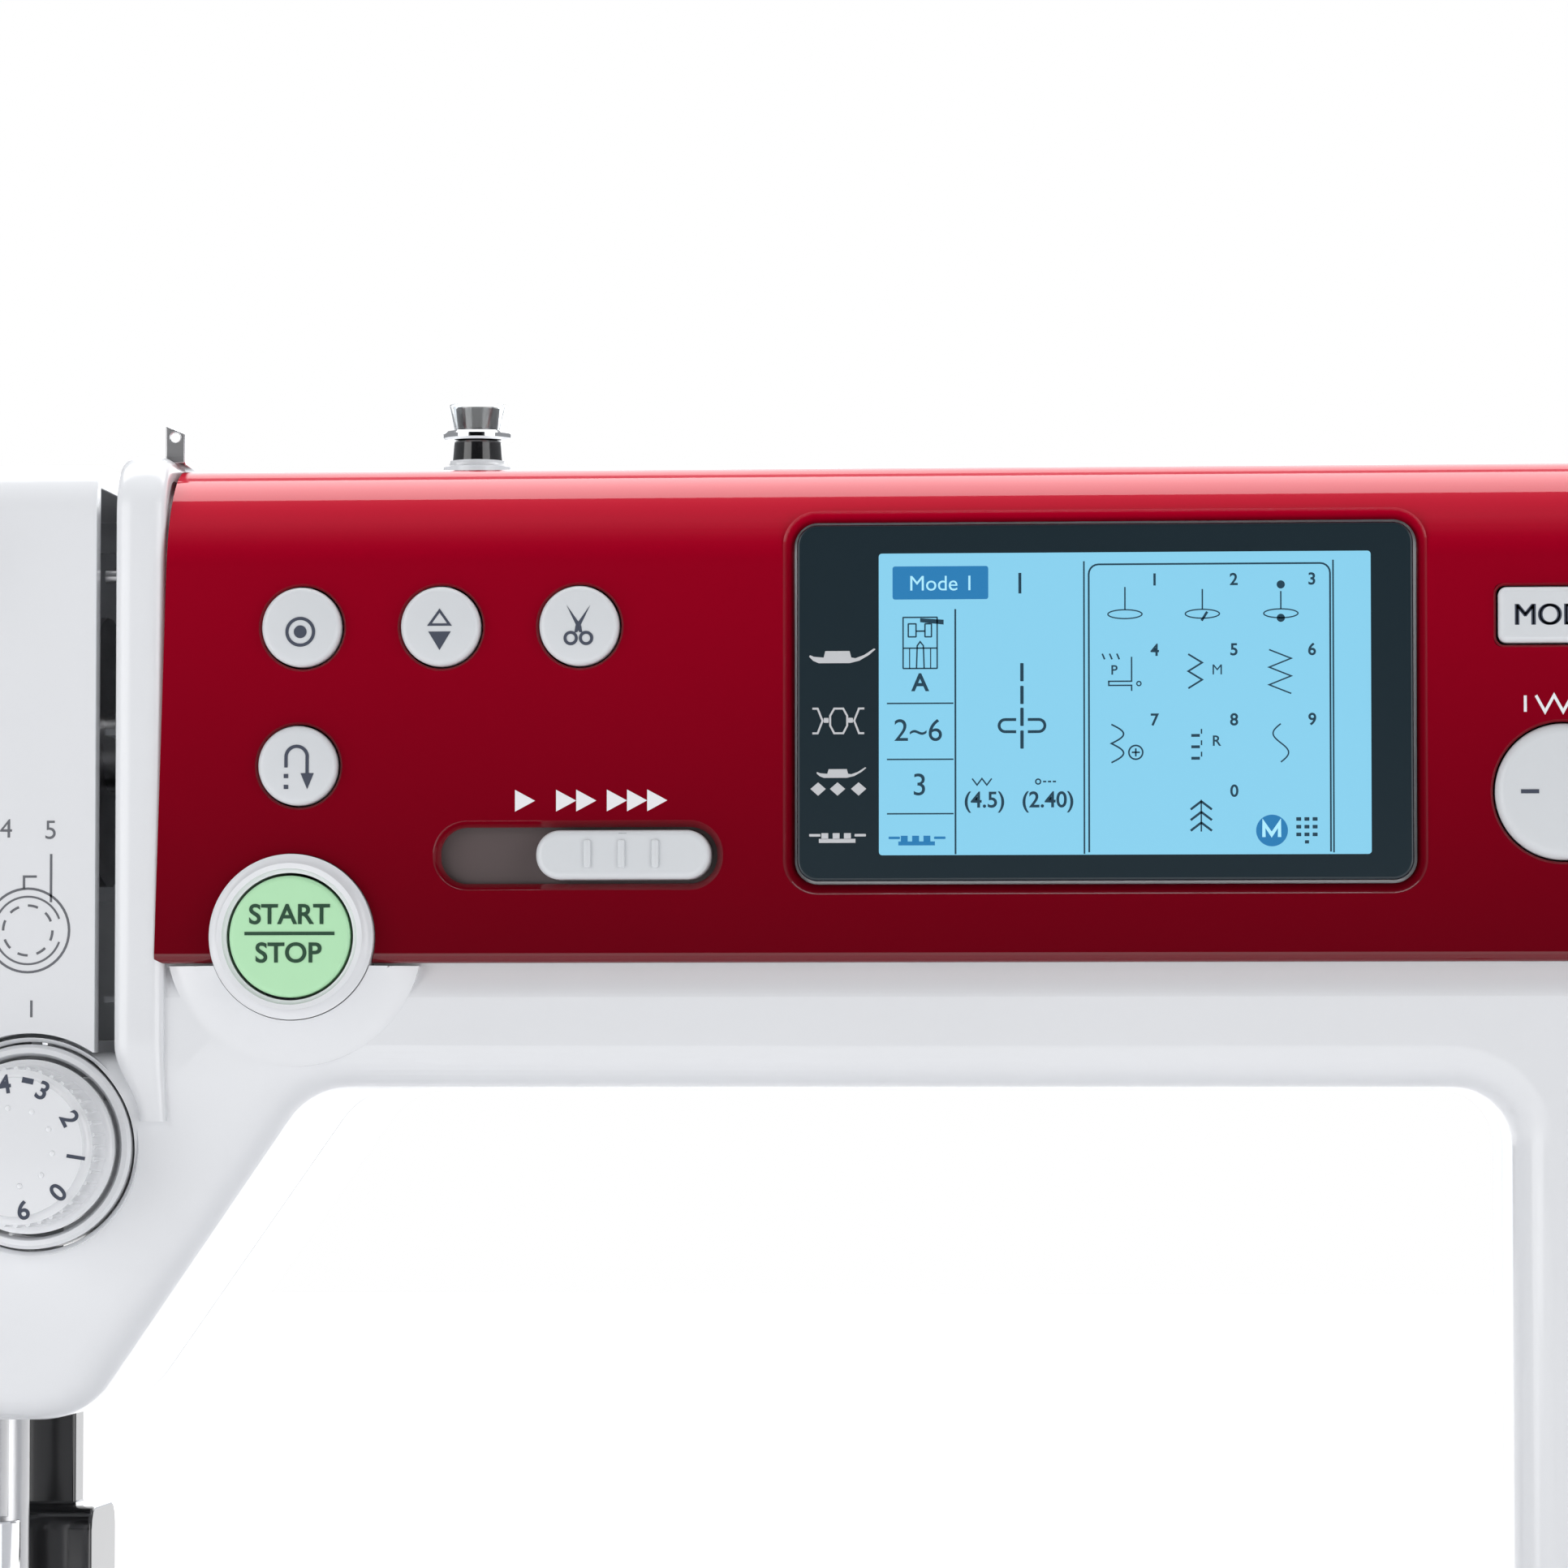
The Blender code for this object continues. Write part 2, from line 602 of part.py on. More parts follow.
def face_cover():
    section = rectangle(-ARM_HALF, ARM_HALF, HEAD_BOTTOM, ARM_TOP, 6 * MM)
    shape = soft_prism("X", section, FACE_RIGHT, FACE_LEFT, EDGE_RADIUS, 4)
    inner = box(
        FACE_LEFT + WALL, FACE_RIGHT + PAST, WALL - ARM_HALF, ARM_HALF - WALL,
        HEAD_BOTTOM - PAST, ARM_TOP - WALL,
    )
    piece("face_cover", shape, "white_plastic", cuts=[inner, lifter_notch()])


def thread_plate():
    """The narrow front cover between the two thread slots, folded back over the top of the head."""
    y0, z0 = -ARM_HALF, SHELF_TOP + GAP
    section = rounded(
        [
            (y0, z0, 0),
            (-GAP / 2, z0, 0),
            (-GAP / 2, ARM_TOP, 0),
            (y0, ARM_TOP, 6 * MM),
        ]
    )
    inner = box(
        PLATE_LEFT - PAST, PLATE_RIGHT + PAST, y0 + WALL, PAST, z0 - PAST, ARM_TOP - WALL
    )
    shape = prism("X", section, PLATE_LEFT, PLATE_RIGHT)
    arch = rod("Y", (DIAL_X, DIAL_Z), y0 - PAST, 0, DIAL_WELL + 1 * MM, 32)
    piece("thread_plate", shape, "white_plastic", cuts=[inner, arch])


def control_panel():
    y, z = ROLL_CENTRE
    thin = PANEL_ROLL - PANEL_THICK
    tail = y + PANEL_TAIL
    section = rounded(
        [
            (PANEL_FRONT, PANEL_BOTTOM, 0.8 * MM),
            (PANEL_BACK, PANEL_BOTTOM, 0),
            (PANEL_BACK, z + thin, thin),
            (tail, z + thin, 0),
            (tail, PANEL_TOP, 0),
            (PANEL_FRONT, PANEL_TOP, PANEL_ROLL),
        ],
        6,
    )
    shape = prism("X", section, PANEL_LEFT, PANEL_RIGHT)
    low, high = PANEL_FRONT - PAST, PANEL_WALL_BACK
    slot = box(SLOT_LEFT, SLOT_LEFT + SLOT_LENGTH, low, high, SLOT_Z - SLOT_HALF, SLOT_Z + SLOT_HALF)
    cuts = [prism("Y", screen_outline(GAP), low, high), slot, *control_holes(GAP, low, high)]
    piece("control_panel", shape, "red_panel", cuts=cuts)


def bed_housing():
    corner = 12 * MM
    outline = rectangle(PILLAR_LEFT + GAP, RIGHT_X, -BED_HALF, BED_HALF, corner)
    shape = soft_prism("Z", outline, BASE_TOP + GAP, BED_TOP, 3 * MM)
    x0, x1 = PILLAR_LEFT + GAP + WALL, RIGHT_X - WALL
    half = BED_HALF - WALL
    mouth = ARM_HALF - WALL
    arm_in = FREE_ARM_HALF - WALL
    cuts = [
        room(x0, x1, -half, half, BASE_TOP - PAST, BED_TOP - WALL, corner - WALL),
        box(x0 + WALL, x1 - WALL, -mouth, mouth, BED_TOP - WALL - PAST, BED_TOP + PAST),
        box(PILLAR_LEFT - PAST, x0 + PAST, -arm_in, arm_in, FREE_ARM_BOTTOM + WALL, BED_TOP - WALL),
        box(x1 - PAST, RIGHT_X + PAST, *SOCKET_SPAN, *SOCKET_HEIGHT),
        box(x1 - PAST, RIGHT_X + PAST, *SWITCH_SPAN, *SWITCH_HEIGHT),
    ]
    piece("bed_housing", shape, "white_plastic", cuts=cuts)


def free_arm_shell():
    section = rectangle(-FREE_ARM_HALF, FREE_ARM_HALF, FREE_ARM_BOTTOM, BED_TOP, 6 * MM)
    shape = soft_prism("X", section, PILLAR_LEFT, FREE_ARM_LEFT, EDGE_RADIUS, 4)
    half = FREE_ARM_HALF - WALL
    z0, z1 = FREE_ARM_BOTTOM + WALL, BED_TOP - WALL
    x0, x1 = NEEDLE_X - PLATE_HALF - GAP, NEEDLE_X + PLATE_HALF + GAP
    cuts = [
        box(FREE_ARM_LEFT + WALL, PILLAR_LEFT + PAST, -half, half, z0, z1),
        box(x0, x1, COVER_FRONT - GAP, PLATE_BACK + GAP, z1 - PAST, BED_TOP + PAST),
    ]
    piece("free_arm_shell", shape, "white_plastic", cuts=cuts)


def base_tray():
    margin, half = 8 * MM, BED_HALF - 5 * MM
    outline = rectangle(FREE_ARM_LEFT + margin, RIGHT_X - PAST, -half, half, 12 * MM)
    piece("base_tray", prism("Z", outline, BASE_BOTTOM, BASE_TOP), "grey_plastic")


def feet():
    radius = 11 * MM
    x_left, x_right = FREE_ARM_LEFT + 26 * MM, RIGHT_X - 23 * MM
    y = BED_HALF - 20 * MM
    spots = {
        "foot_front_left": (x_left, -y),
        "foot_front_right": (x_right, -y),
        "foot_rear_left": (x_left, y),
        "foot_rear_right": (x_right, y),
    }
    profile = [(0, radius - 1 * MM), (1 * MM, radius), (FOOT_HEIGHT, radius)]
    for name, at in spots.items():
        piece(name, turned("Z", at, profile, 20), "rubber")


def extension_table():
    """The box-like table that wraps the free arm; its front limb holds the accessories."""
    corner = 14 * MM
    outline = rounded(
        [
            (TABLE_LEFT, -BED_HALF, corner),
            (TABLE_RIGHT, -BED_HALF, 0),
            (TABLE_RIGHT, BED_HALF, 0),
            (TABLE_LEFT, BED_HALF, corner),
        ]
    )
    soft = corner - TABLE_WALL
    shape = soft_prism("Z", outline, TABLE_BOTTOM, BED_TOP, 3 * MM)
    inner = FREE_ARM_HALF + 0.8 * MM
    x0, x1 = TABLE_LEFT + TABLE_WALL, TABLE_RIGHT - TABLE_WALL
    limb = inner + WALL
    outer = BED_HALF - WALL
    cuts = [
        box(FREE_ARM_LEFT - 1.5 * MM, TABLE_RIGHT + PAST, -inner, inner, TABLE_BOTTOM - PAST, BED_TOP + PAST),
        room(x0, x1, -outer, -limb, TABLE_BOTTOM + WALL, BED_TOP - WALL, soft),
        box(x0 + 9 * MM, x1, -BED_HALF - PAST, -outer + PAST, TABLE_BOTTOM + WALL, BED_TOP - WALL),
        room(x0, x1, limb, outer, TABLE_BOTTOM - PAST, BED_TOP - WALL, soft),
    ]
    piece("extension_table", shape, "white_plastic", cuts=cuts)
    flap_z = TABLE_BOTTOM + WALL + GAP
    flap = box(
        x0 + 9 * MM + GAP, x1 - GAP, -BED_HALF, -BED_HALF + WALL - GAP, flap_z, BED_TOP - WALL - 2 * GAP
    )
    piece("storage_flap", flap, "white_plastic", pivot=(0, -BED_HALF, flap_z))


# ---- controls -----------------------------------------------------------------------------------


def round_keys():
    front = PANEL_FRONT - KEY_PROUD
    profile = [
        (KEY_BACK, KEY_RADIUS - GAP),
        (front, KEY_RADIUS - GAP),
        (front - KEY_DOME * 0.75, KEY_RADIUS * 0.7),
        (front - KEY_DOME, KEY_RADIUS * 0.25),
    ]
    for name, (x, z) in KEY_LIST.items():
        piece(name, turned("Y", (x, z), profile, 20), "grey_plastic", pivot=(x, front, z))


def start_button():
    at = (START_X, START_Z)
    front = PANEL_FRONT - START_PROUD
    back = POCKET_FLOOR
    inner = START_RADIUS + GAP
    ring = [(back, START_RING), (front + 1 * MM, START_RING), (front, START_RING - 1 * MM), (front, inner), (back, inner)]
    piece("start_ring", turned("Y", at, ring, 32, closed=True), "grey_plastic")
    lens = [(KEY_BACK, START_RADIUS), (front + 0.4 * MM, START_RADIUS), (front, START_RADIUS - 1 * MM)]
    piece("start_key", turned("Y", at, lens, 32), "start_lens", pivot=(START_X, front, START_Z))


def speed_slider():
    right = SLOT_LEFT + SLOT_LENGTH - GAP * 2
    left = right - KNOB_LENGTH
    front = PANEL_FRONT - KNOB_PROUD
    knob = box(left, right, front, POCKET_FLOOR - GAP, SLOT_Z - KNOB_HALF, SLOT_Z + KNOB_HALF)
    middle = (left + right) / 2
    x0, x1 = middle - KNOB_STEM / 2, middle + KNOB_STEM / 2
    stem = box(x0, x1, POCKET_FLOOR - 2 * GAP, KEY_BACK, SLOT_Z - 1.5 * MM, SLOT_Z + 1.5 * MM)
    piece("speed_slider", knob, "grey_plastic", pivot=(middle, front, SLOT_Z), joined=[stem])


def screen():
    front = PANEL_FRONT + SCREEN_SUNK
    back = POCKET_FLOOR - GAP
    piece("screen_window", prism("Y", screen_outline(0), front, back), "screen_glass")
    low = POCKET_FLOOR + GAP
    piece("lcd_module", lcd_box(0, low, low + LCD_DEPTH), "lcd")
    x0, x1 = PANEL_LEFT + 8 * MM, WIDTH_KEY_X + 10 * MM
    board = box(x0, x1, BOARD_Y, BOARD_Y + BOARD_THICK, BOARD_BOTTOM, BOARD_TOP)
    piece("main_board", board, "board")


def right_keys():
    front = PANEL_FRONT - KEY_PROUD
    x0, x1, z0, z1 = MODE_LEFT, MODE_LEFT + MODE_WIDTH, MODE_BOTTOM, MODE_BOTTOM + MODE_HEIGHT
    outline = rectangle(x0, x1, z0, z1, 1 * MM, 2)
    key = soft_prism("Y", outline, KEY_BACK, front, 0.6 * MM, 2)
    piece("mode_key", key, "grey_plastic", pivot=(x0, front, z0))
    outline = circle((WIDTH_KEY_X, WIDTH_KEY_Z), WIDTH_KEY_RADIUS, 28)
    key = soft_prism("Y", outline, KEY_BACK, front, 1 * MM, 2)
    piece("width_key", key, "grey_plastic", pivot=(WIDTH_KEY_X, KEY_BACK - 3 * MM, WIDTH_KEY_Z))


def tension():
    at = (DIAL_X, DIAL_Z)
    base = DIAL_FRONT + DIAL_DEPTH
    dial = [
        (DIAL_FRONT, DIAL_FACE),
        (base - 4 * MM, DIAL_FACE + 0.5 * MM),
        (base - 3 * MM, DIAL_RADIUS),
        (base, DIAL_RADIUS),
        (base, DIAL_SHAFT),
        (PANEL_WALL_BACK + 14 * MM, DIAL_SHAFT),
    ]
    piece("tension_dial", turned("Y", at, dial, 32), "white_plastic", pivot=(DIAL_X, base, DIAL_Z))
    start = PANEL_WALL_BACK + 3 * MM
    inner = DIAL_SHAFT + GAP
    discs = [
        (start, DISC_RADIUS),
        (start + 1 * MM, DISC_RADIUS),
        (start + 2 * MM, DISC_RADIUS - 2 * MM),
        (start + 3 * MM, DISC_RADIUS),
        (start + 4 * MM, DISC_RADIUS),
        (start + 4 * MM, inner),
        (start, inner),
    ]
    piece("tension_discs", turned("Y", at, discs, 24, closed=True), "steel")


# ---- fittings on top of and behind the arm ------------------------------------------------------


def thread_guide():
    """A small bent steel guide: a foot on the arm and an upright with an eye."""
    x0, x1 = RIB_LEFT + 4 * MM, RIB_LEFT + 6.3 * MM
    y0, z0 = -ARM_HALF + 8 * MM, ARM_TOP + GAP
    upright = box(x0, x1, y0, y0 + 1 * MM, z0, z0 + 5 * MM)
    foot = box(x0, x1, y0 + 0.5 * MM, y0 + 9 * MM, z0, z0 + 1 * MM)
    eye = rod("Y", ((x0 + x1) / 2, z0 + 3.6 * MM), y0 - PAST, y0 + PAST, 0.55 * MM, 12)
    piece("thread_guide", upright, "steel", joined=[foot], cuts=[eye])


def winder_guide():
    """The winding thread's pretension guide: base, black post, thin flange and tapered cap."""
    at = (NEEDLE_X + 65 * MM, -20 * MM)
    z = ARM_TOP + GAP
    profile = [
        (z, 4 * MM),
        (z + 4.5 * MM, 3.6 * MM),
        (z + 4.6 * MM, 3 * MM),
        (z + 6.9 * MM, 3 * MM),
        (z + 7 * MM, 4.3 * MM),
        (z + 7.6 * MM, 4.3 * MM),
        (z + 7.8 * MM, 2.8 * MM),
        (z + 9.4 * MM, 3.6 * MM),
    ]
    piece("winder_guide", turned("Z", at, profile, 24), "black_plastic")


def winder_spindle():
    z = ARM_TOP + GAP
    profile = [
        (z - 14 * MM, WINDER_STEM),
        (z, WINDER_STEM),
        (z + 0.1 * MM, 8 * MM),
        (z + 2.5 * MM, 8 * MM),
        (z + 2.6 * MM, WINDER_PIN),
        (z + WINDER_HEIGHT - 1 * MM, WINDER_PIN),
        (z + WINDER_HEIGHT, WINDER_PIN - 1 * MM),
    ]
    at = (WINDER_X, WINDER_Y)
    piece("winder_spindle", turned("Z", at, profile, 24), "black_plastic", pivot=(*at, z))


def spool_well():
    x0, x1, y0, y1 = TRAY_LEFT, TRAY_RIGHT, TRAY_FRONT, TRAY_BACK
    top = LID_TOP - LID_THICK - GAP
    tray = box(x0, x1, y0, y1, ARM_TOP - TRAY_DEPTH, top)
    inner = box(
        x0 + TRAY_WALL, x1 - TRAY_WALL, y0 + TRAY_WALL, y1 - TRAY_WALL,
        ARM_TOP - TRAY_DEPTH + TRAY_WALL, ARM_TOP,
    )
    piece("spool_tray", tray, "white_plastic", cuts=[inner])
    pin_end = x1 - TRAY_WALL - GAP
    at = (SPOOL_Y, SPOOL_Z)
    pin_start = x0 + 20 * MM
    pin = [
        (pin_start, SPOOL_RADIUS - 0.6 * MM),
        (pin_start + 1 * MM, SPOOL_RADIUS),
        (pin_end - 3 * MM, SPOOL_RADIUS),
        (pin_end - 2.9 * MM, 6 * MM),
        (pin_end, 6 * MM),
    ]
    piece("spool_pin", turned("X", at, pin, 16), "grey_plastic")
    start = x0 + 33 * MM
    bore = SPOOL_RADIUS + GAP
    cap = [
        (start, 7 * MM),
        (start + 3 * MM, CAP_RADIUS),
        (start + 5 * MM, CAP_RADIUS),
        (start + 5 * MM, bore),
        (start, bore),
    ]
    piece("spool_cap", turned("X", at, cap, 24, closed=True), "grey_plastic", pivot=(start, *at))


def top_lid():
    x0, x1 = TRAY_LEFT, TRAY_RIGHT
    lid = box(x0, x1, TRAY_FRONT, TRAY_BACK - GAP, LID_TOP - LID_THICK, LID_TOP)
    hinge = (0, TRAY_BACK - GAP, LID_TOP)
    piece("top_lid", lid, "white_plastic", pivot=hinge)


def carry_handle():
    """A bail: two round-ended legs joined by a bar, with a pin at the end of each leg."""
    x0, x1 = HANDLE_LEFT, HANDLE_LEFT + HANDLE_WIDTH
    half = HANDLE_BAR / 2
    low = HANDLE_Z - HANDLE_DROP
    leg_width = 9 * MM
    leg = rounded(
        [
            (HANDLE_Y - half, low, 2 * MM),
            (HANDLE_Y + half, low, 2 * MM),
            (HANDLE_Y + half, HANDLE_Z + half, half * 0.98),
            (HANDLE_Y - half, HANDLE_Z + half, half * 0.98),
        ]
    )
    grip = rounded(
        [
            (HANDLE_Y - half, low, 2 * MM),
            (HANDLE_Y + half, low, 2 * MM),
            (HANDLE_Y + half, low + 14 * MM, 3 * MM),
            (HANDLE_Y - half, low + 14 * MM, 3 * MM),
        ]
    )
    pin = (HANDLE_Y, HANDLE_Z)
    joined = [
        prism("X", leg, x1 - leg_width, x1),
        prism("X", grip, x0 + PAST, x1 - PAST),
        rod("X", pin, x0 - LUG_THICK, x0 + PAST, HANDLE_PIN, 16),
        rod("X", pin, x1 - PAST, x1 + LUG_THICK, HANDLE_PIN, 16),
    ]
    shape = prism("X", leg, x0, x0 + leg_width)
    piece("carry_handle", shape, "grey_plastic", pivot=(0, *pin), joined=joined)


# ---- drive train --------------------------------------------------------------------------------


def upper_shaft():
    end = RIGHT_X + 8 * MM
    profile = [
        (CRANK_LEFT, CRANK_RADIUS),
        (CRANK_LEFT + CRANK_THICK, CRANK_RADIUS),
        (CRANK_LEFT + CRANK_THICK, SHAFT_RADIUS),
        (PULLEY_LEFT, SHAFT_RADIUS),
        (PULLEY_LEFT, PULLEY_RADIUS),
        (PULLEY_LEFT + PULLEY_WIDTH, PULLEY_RADIUS),
        (PULLEY_LEFT + PULLEY_WIDTH, SHAFT_RADIUS),
        (DRIVE_LEFT, SHAFT_RADIUS),
        (DRIVE_LEFT, WHEEL_PULLEY),
        (DRIVE_LEFT + DRIVE_WIDTH, WHEEL_PULLEY),
        (DRIVE_LEFT + DRIVE_WIDTH, SHAFT_RADIUS),
        (end, SHAFT_RADIUS),
    ]
    at = (0, SHAFT_Z)
    pin = rod("X", (0, SHAFT_Z + CRANK_PIN - 2 * MM), CRANK_LEFT - 2.5 * MM, CRANK_LEFT + PAST, 2 * MM, 16)
    piece("upper_shaft", turned("X", at, profile, 24), "steel", pivot=(0, *at), joined=[pin])


def handwheel():
    x0 = RIGHT_X + GAP
    x1 = x0 + WHEEL_THICK
    profile = [
        (x0, WHEEL_RADIUS - 3 * MM),
        (x0 + 3 * MM, WHEEL_RADIUS),
        (x1 - 4 * MM, WHEEL_RADIUS),
        (x1, WHEEL_RADIUS - 4 * MM),
    ]
    bore = rod("X", (0, SHAFT_Z), x0 - PAST, RIGHT_X + 9 * MM, SHAFT_RADIUS + GAP)
    wheel = turned("X", (0, SHAFT_Z), profile, 40)
    piece("handwheel", wheel, "white_plastic", pivot=(x0, 0, SHAFT_Z), cuts=[bore])


def lower_shaft():
    tooth_end = NEEDLE_X + PINION_PITCH
    end = PULLEY_LEFT + PULLEY_WIDTH + 4 * MM
    profile = [
        (tooth_end - 0.4 * MM, LOWER_RADIUS),
        (PULLEY_LEFT, LOWER_RADIUS),
        (PULLEY_LEFT, PULLEY_RADIUS),
        (PULLEY_LEFT + PULLEY_WIDTH, PULLEY_RADIUS),
        (PULLEY_LEFT + PULLEY_WIDTH, LOWER_RADIUS),
        (end, LOWER_RADIUS),
    ]
    at = (HOOK_Y, LOWER_Z)
    gear = bevel_gear("X", at, NEEDLE_X, GEAR_TEETH, GEAR_PITCH, PINION_PITCH, 0)
    piece("lower_shaft", turned("X", at, profile, 24), "steel", pivot=(0, *at), joined=[gear])


def belts():
    upper, lower = (0, SHAFT_Z), (HOOK_Y, LOWER_Z)
    loops = (
        ("timing_belt", upper, PULLEY_RADIUS, lower, PULLEY_RADIUS, PULLEY_LEFT, PULLEY_WIDTH),
        ("drive_belt", upper, WHEEL_PULLEY, (MOTOR_Y, MOTOR_Z), MOTOR_PULLEY, DRIVE_LEFT, DRIVE_WIDTH),
    )
    for name, c1, r1, c2, r2, left, width in loops:
        inner = belt_outline(c1, r1 + GAP, c2, r2 + GAP)
        outer = belt_outline(c1, r1 + GAP + BELT_THICK, c2, r2 + GAP + BELT_THICK)
        x0, x1 = left + GAP, left + width - GAP
        rings = [(x0, outer), (x1, outer), (x1, inner), (x0, inner)]
        piece(name, loft("X", rings, closed=True), "rubber")


def motor():
    at = (MOTOR_Y, MOTOR_Z)
    body = [
        (MOTOR_RIGHT - MOTOR_LENGTH, MOTOR_RADIUS - 2 * MM),
        (MOTOR_RIGHT - MOTOR_LENGTH + 2 * MM, MOTOR_RADIUS),
        (MOTOR_RIGHT - 2 * MM, MOTOR_RADIUS),
        (MOTOR_RIGHT, MOTOR_RADIUS - 2 * MM),
    ]
    piece("drive_motor", turned("X", at, body, 28), "steel")
    rotor = [
        (MOTOR_RIGHT + GAP, 2.5 * MM),
        (DRIVE_LEFT - 1 * MM, 2.5 * MM),
        (DRIVE_LEFT - 1 * MM, MOTOR_PULLEY),
        (DRIVE_LEFT + DRIVE_WIDTH + 1 * MM, MOTOR_PULLEY),
    ]
    piece("motor_pulley", turned("X", at, rotor, 20), "steel", pivot=(MOTOR_RIGHT, *at))


def arm_frame():
    """One casting: the arm beam with its shaft bearings, the head's bar guides, column and bed beam."""
    beam = (ARM_BOTTOM + 2 * WALL, SHAFT_Z - CRANK_RADIUS - 2 * MM)
    guide_x = (NEEDLE_X - 10 * MM, NEEDLE_X + 6.5 * MM)
    web_x = (NEEDLE_X - 15 * MM, NEEDLE_X - 7.5 * MM)
    half = 8 * MM
    column = (PILLAR_LEFT + 54 * MM, DRIVE_LEFT - 12 * MM)
    floor = FREE_ARM_BOTTOM + WALL + GAP
    bed_beam = floor + 5 * MM
    guide = (-7 * MM, PRESSER_Y + 7 * MM)
    low_guide = (HEAD_BOTTOM + 13 * MM, HEAD_BOTTOM + 23 * MM)
    high_guide = (SHAFT_Z + 9 * MM, SHAFT_Z + 19 * MM)
    joined = [
        box(*guide_x, *guide, *low_guide),
        box(*guide_x, *guide, *high_guide),
        box(*web_x, *guide, low_guide[0], high_guide[1]),
        box(*column, -half, half, floor + 1 * MM, beam[0] + 2 * MM),
        box(NEEDLE_X + 33 * MM, column[1], HOOK_Y - 9 * MM, half, floor, bed_beam),
    ]
    cuts = []
    top = SHAFT_Z + 10 * MM
    for x in (NEEDLE_X + 20 * MM, PILLAR_LEFT + 10 * MM, column[1] - 12 * MM):
        joined.append(box(x, x + 12 * MM, -9 * MM, 9 * MM, beam[1] - 1 * MM, top))
    low_top = LOWER_Z + 9 * MM
    for x in (NEEDLE_X + 38 * MM, PILLAR_LEFT + 12 * MM):
        joined.append(box(x, x + 10 * MM, HOOK_Y - 8 * MM, HOOK_Y + 8 * MM, floor + 1 * MM, low_top))
    foot_top = floor + 2 * MM
    for y in (HOOK_Y - 8 * MM, -4 * MM):
        joined.append(box(column[0] + 4 * MM, column[1] - 4 * MM, y, y + 10 * MM, BASE_TOP + GAP, foot_top))
    cuts.append(rod("X", (0, SHAFT_Z), NEEDLE_X + 18 * MM, column[1] + PAST, SHAFT_RADIUS + BAR_FIT))
    shaft_way = (NEEDLE_X + 30 * MM, PILLAR_LEFT + 30 * MM)
    cuts.append(rod("X", (HOOK_Y, LOWER_Z), *shaft_way, LOWER_RADIUS + BAR_FIT))
    belt_half = PULLEY_RADIUS + BELT_THICK + 2 * MM
    belt_y = (HOOK_Y - belt_half, HOOK_Y + belt_half)
    belt_x = (PULLEY_LEFT - 2 * MM, PULLEY_LEFT + PULLEY_WIDTH + 2 * MM)
    cuts.append(box(*belt_x, *belt_y, floor - PAST, bed_beam + PAST))
    for y in (0, PRESSER_Y):
        way = (low_guide[0] - PAST, high_guide[1] + PAST)
        cuts.append(rod("Z", (NEEDLE_X, y), *way, BAR_RADIUS + BAR_FIT))
    shape = box(web_x[0], column[1], -half, half, *beam)
    piece("arm_frame", shape, "cast_frame", joined=joined, cuts=cuts)


# ---- needle, presser foot and hook --------------------------------------------------------------


def take_up_lever():
    """A flat lever in the left thread slot, hooked at its end, swinging on a pivot behind the face."""
    pivot = (-20 * MM, SHAFT_Z - 7 * MM)
    hook = (-ARM_HALF - 8 * MM, SHAFT_Z + 20 * MM)
    width = 3 * MM
    outline = [
        (pivot[0] + width, pivot[1] - width),
        (pivot[0] + width, pivot[1] + width),
        (hook[0] + 2 * width, hook[1] + width),
        (hook[0], hook[1] + width),
        (hook[0] - width, hook[1]),
        (hook[0] - width * 0.6, hook[1] - width),
        (hook[0] + width, hook[1] - width),
        (pivot[0] - width, pivot[1] - width),
    ]
    x0, x1 = FACE_RIGHT + 0.4 * MM, PLATE_LEFT - 0.4 * MM
    eye = rod("X", hook, x0 - PAST, x1 + PAST, 1 * MM, 12)
    lever = prism("X", outline, x0, x1)
    piece("take_up_lever", lever, "chrome", pivot=(x0, *pivot), cuts=[eye])


def needle_parts():
    at = (NEEDLE_X, 0)
    needle_top = NEEDLE_TIP + NEEDLE_LENGTH
    profile = [
        (NEEDLE_TIP, 0.12 * MM),
        (NEEDLE_TIP + 3 * MM, 0.5 * MM),
        (needle_top - 14 * MM, 0.5 * MM),
        (needle_top - 12 * MM, 1 * MM),
        (needle_top, 1 * MM),
    ]
    piece("needle", turned("Z", at, profile, 10), "chrome")
    clamp_low = needle_top + GAP
    clamp_high = clamp_low + CLAMP_HEIGHT
    clamp = rod("Z", at, clamp_low, clamp_high, CLAMP_RADIUS)
    screw_z = clamp_low + 5 * MM
    screw = rod("X", (0, screw_z), NEEDLE_X + CLAMP_RADIUS - 1 * MM, NEEDLE_X + 12 * MM, 2.5 * MM, 16)
    piece("needle_clamp", clamp, "chrome", joined=[screw])
    piece("needle_bar", rod("Z", at, clamp_high + GAP, BAR_TOP, BAR_RADIUS), "steel")


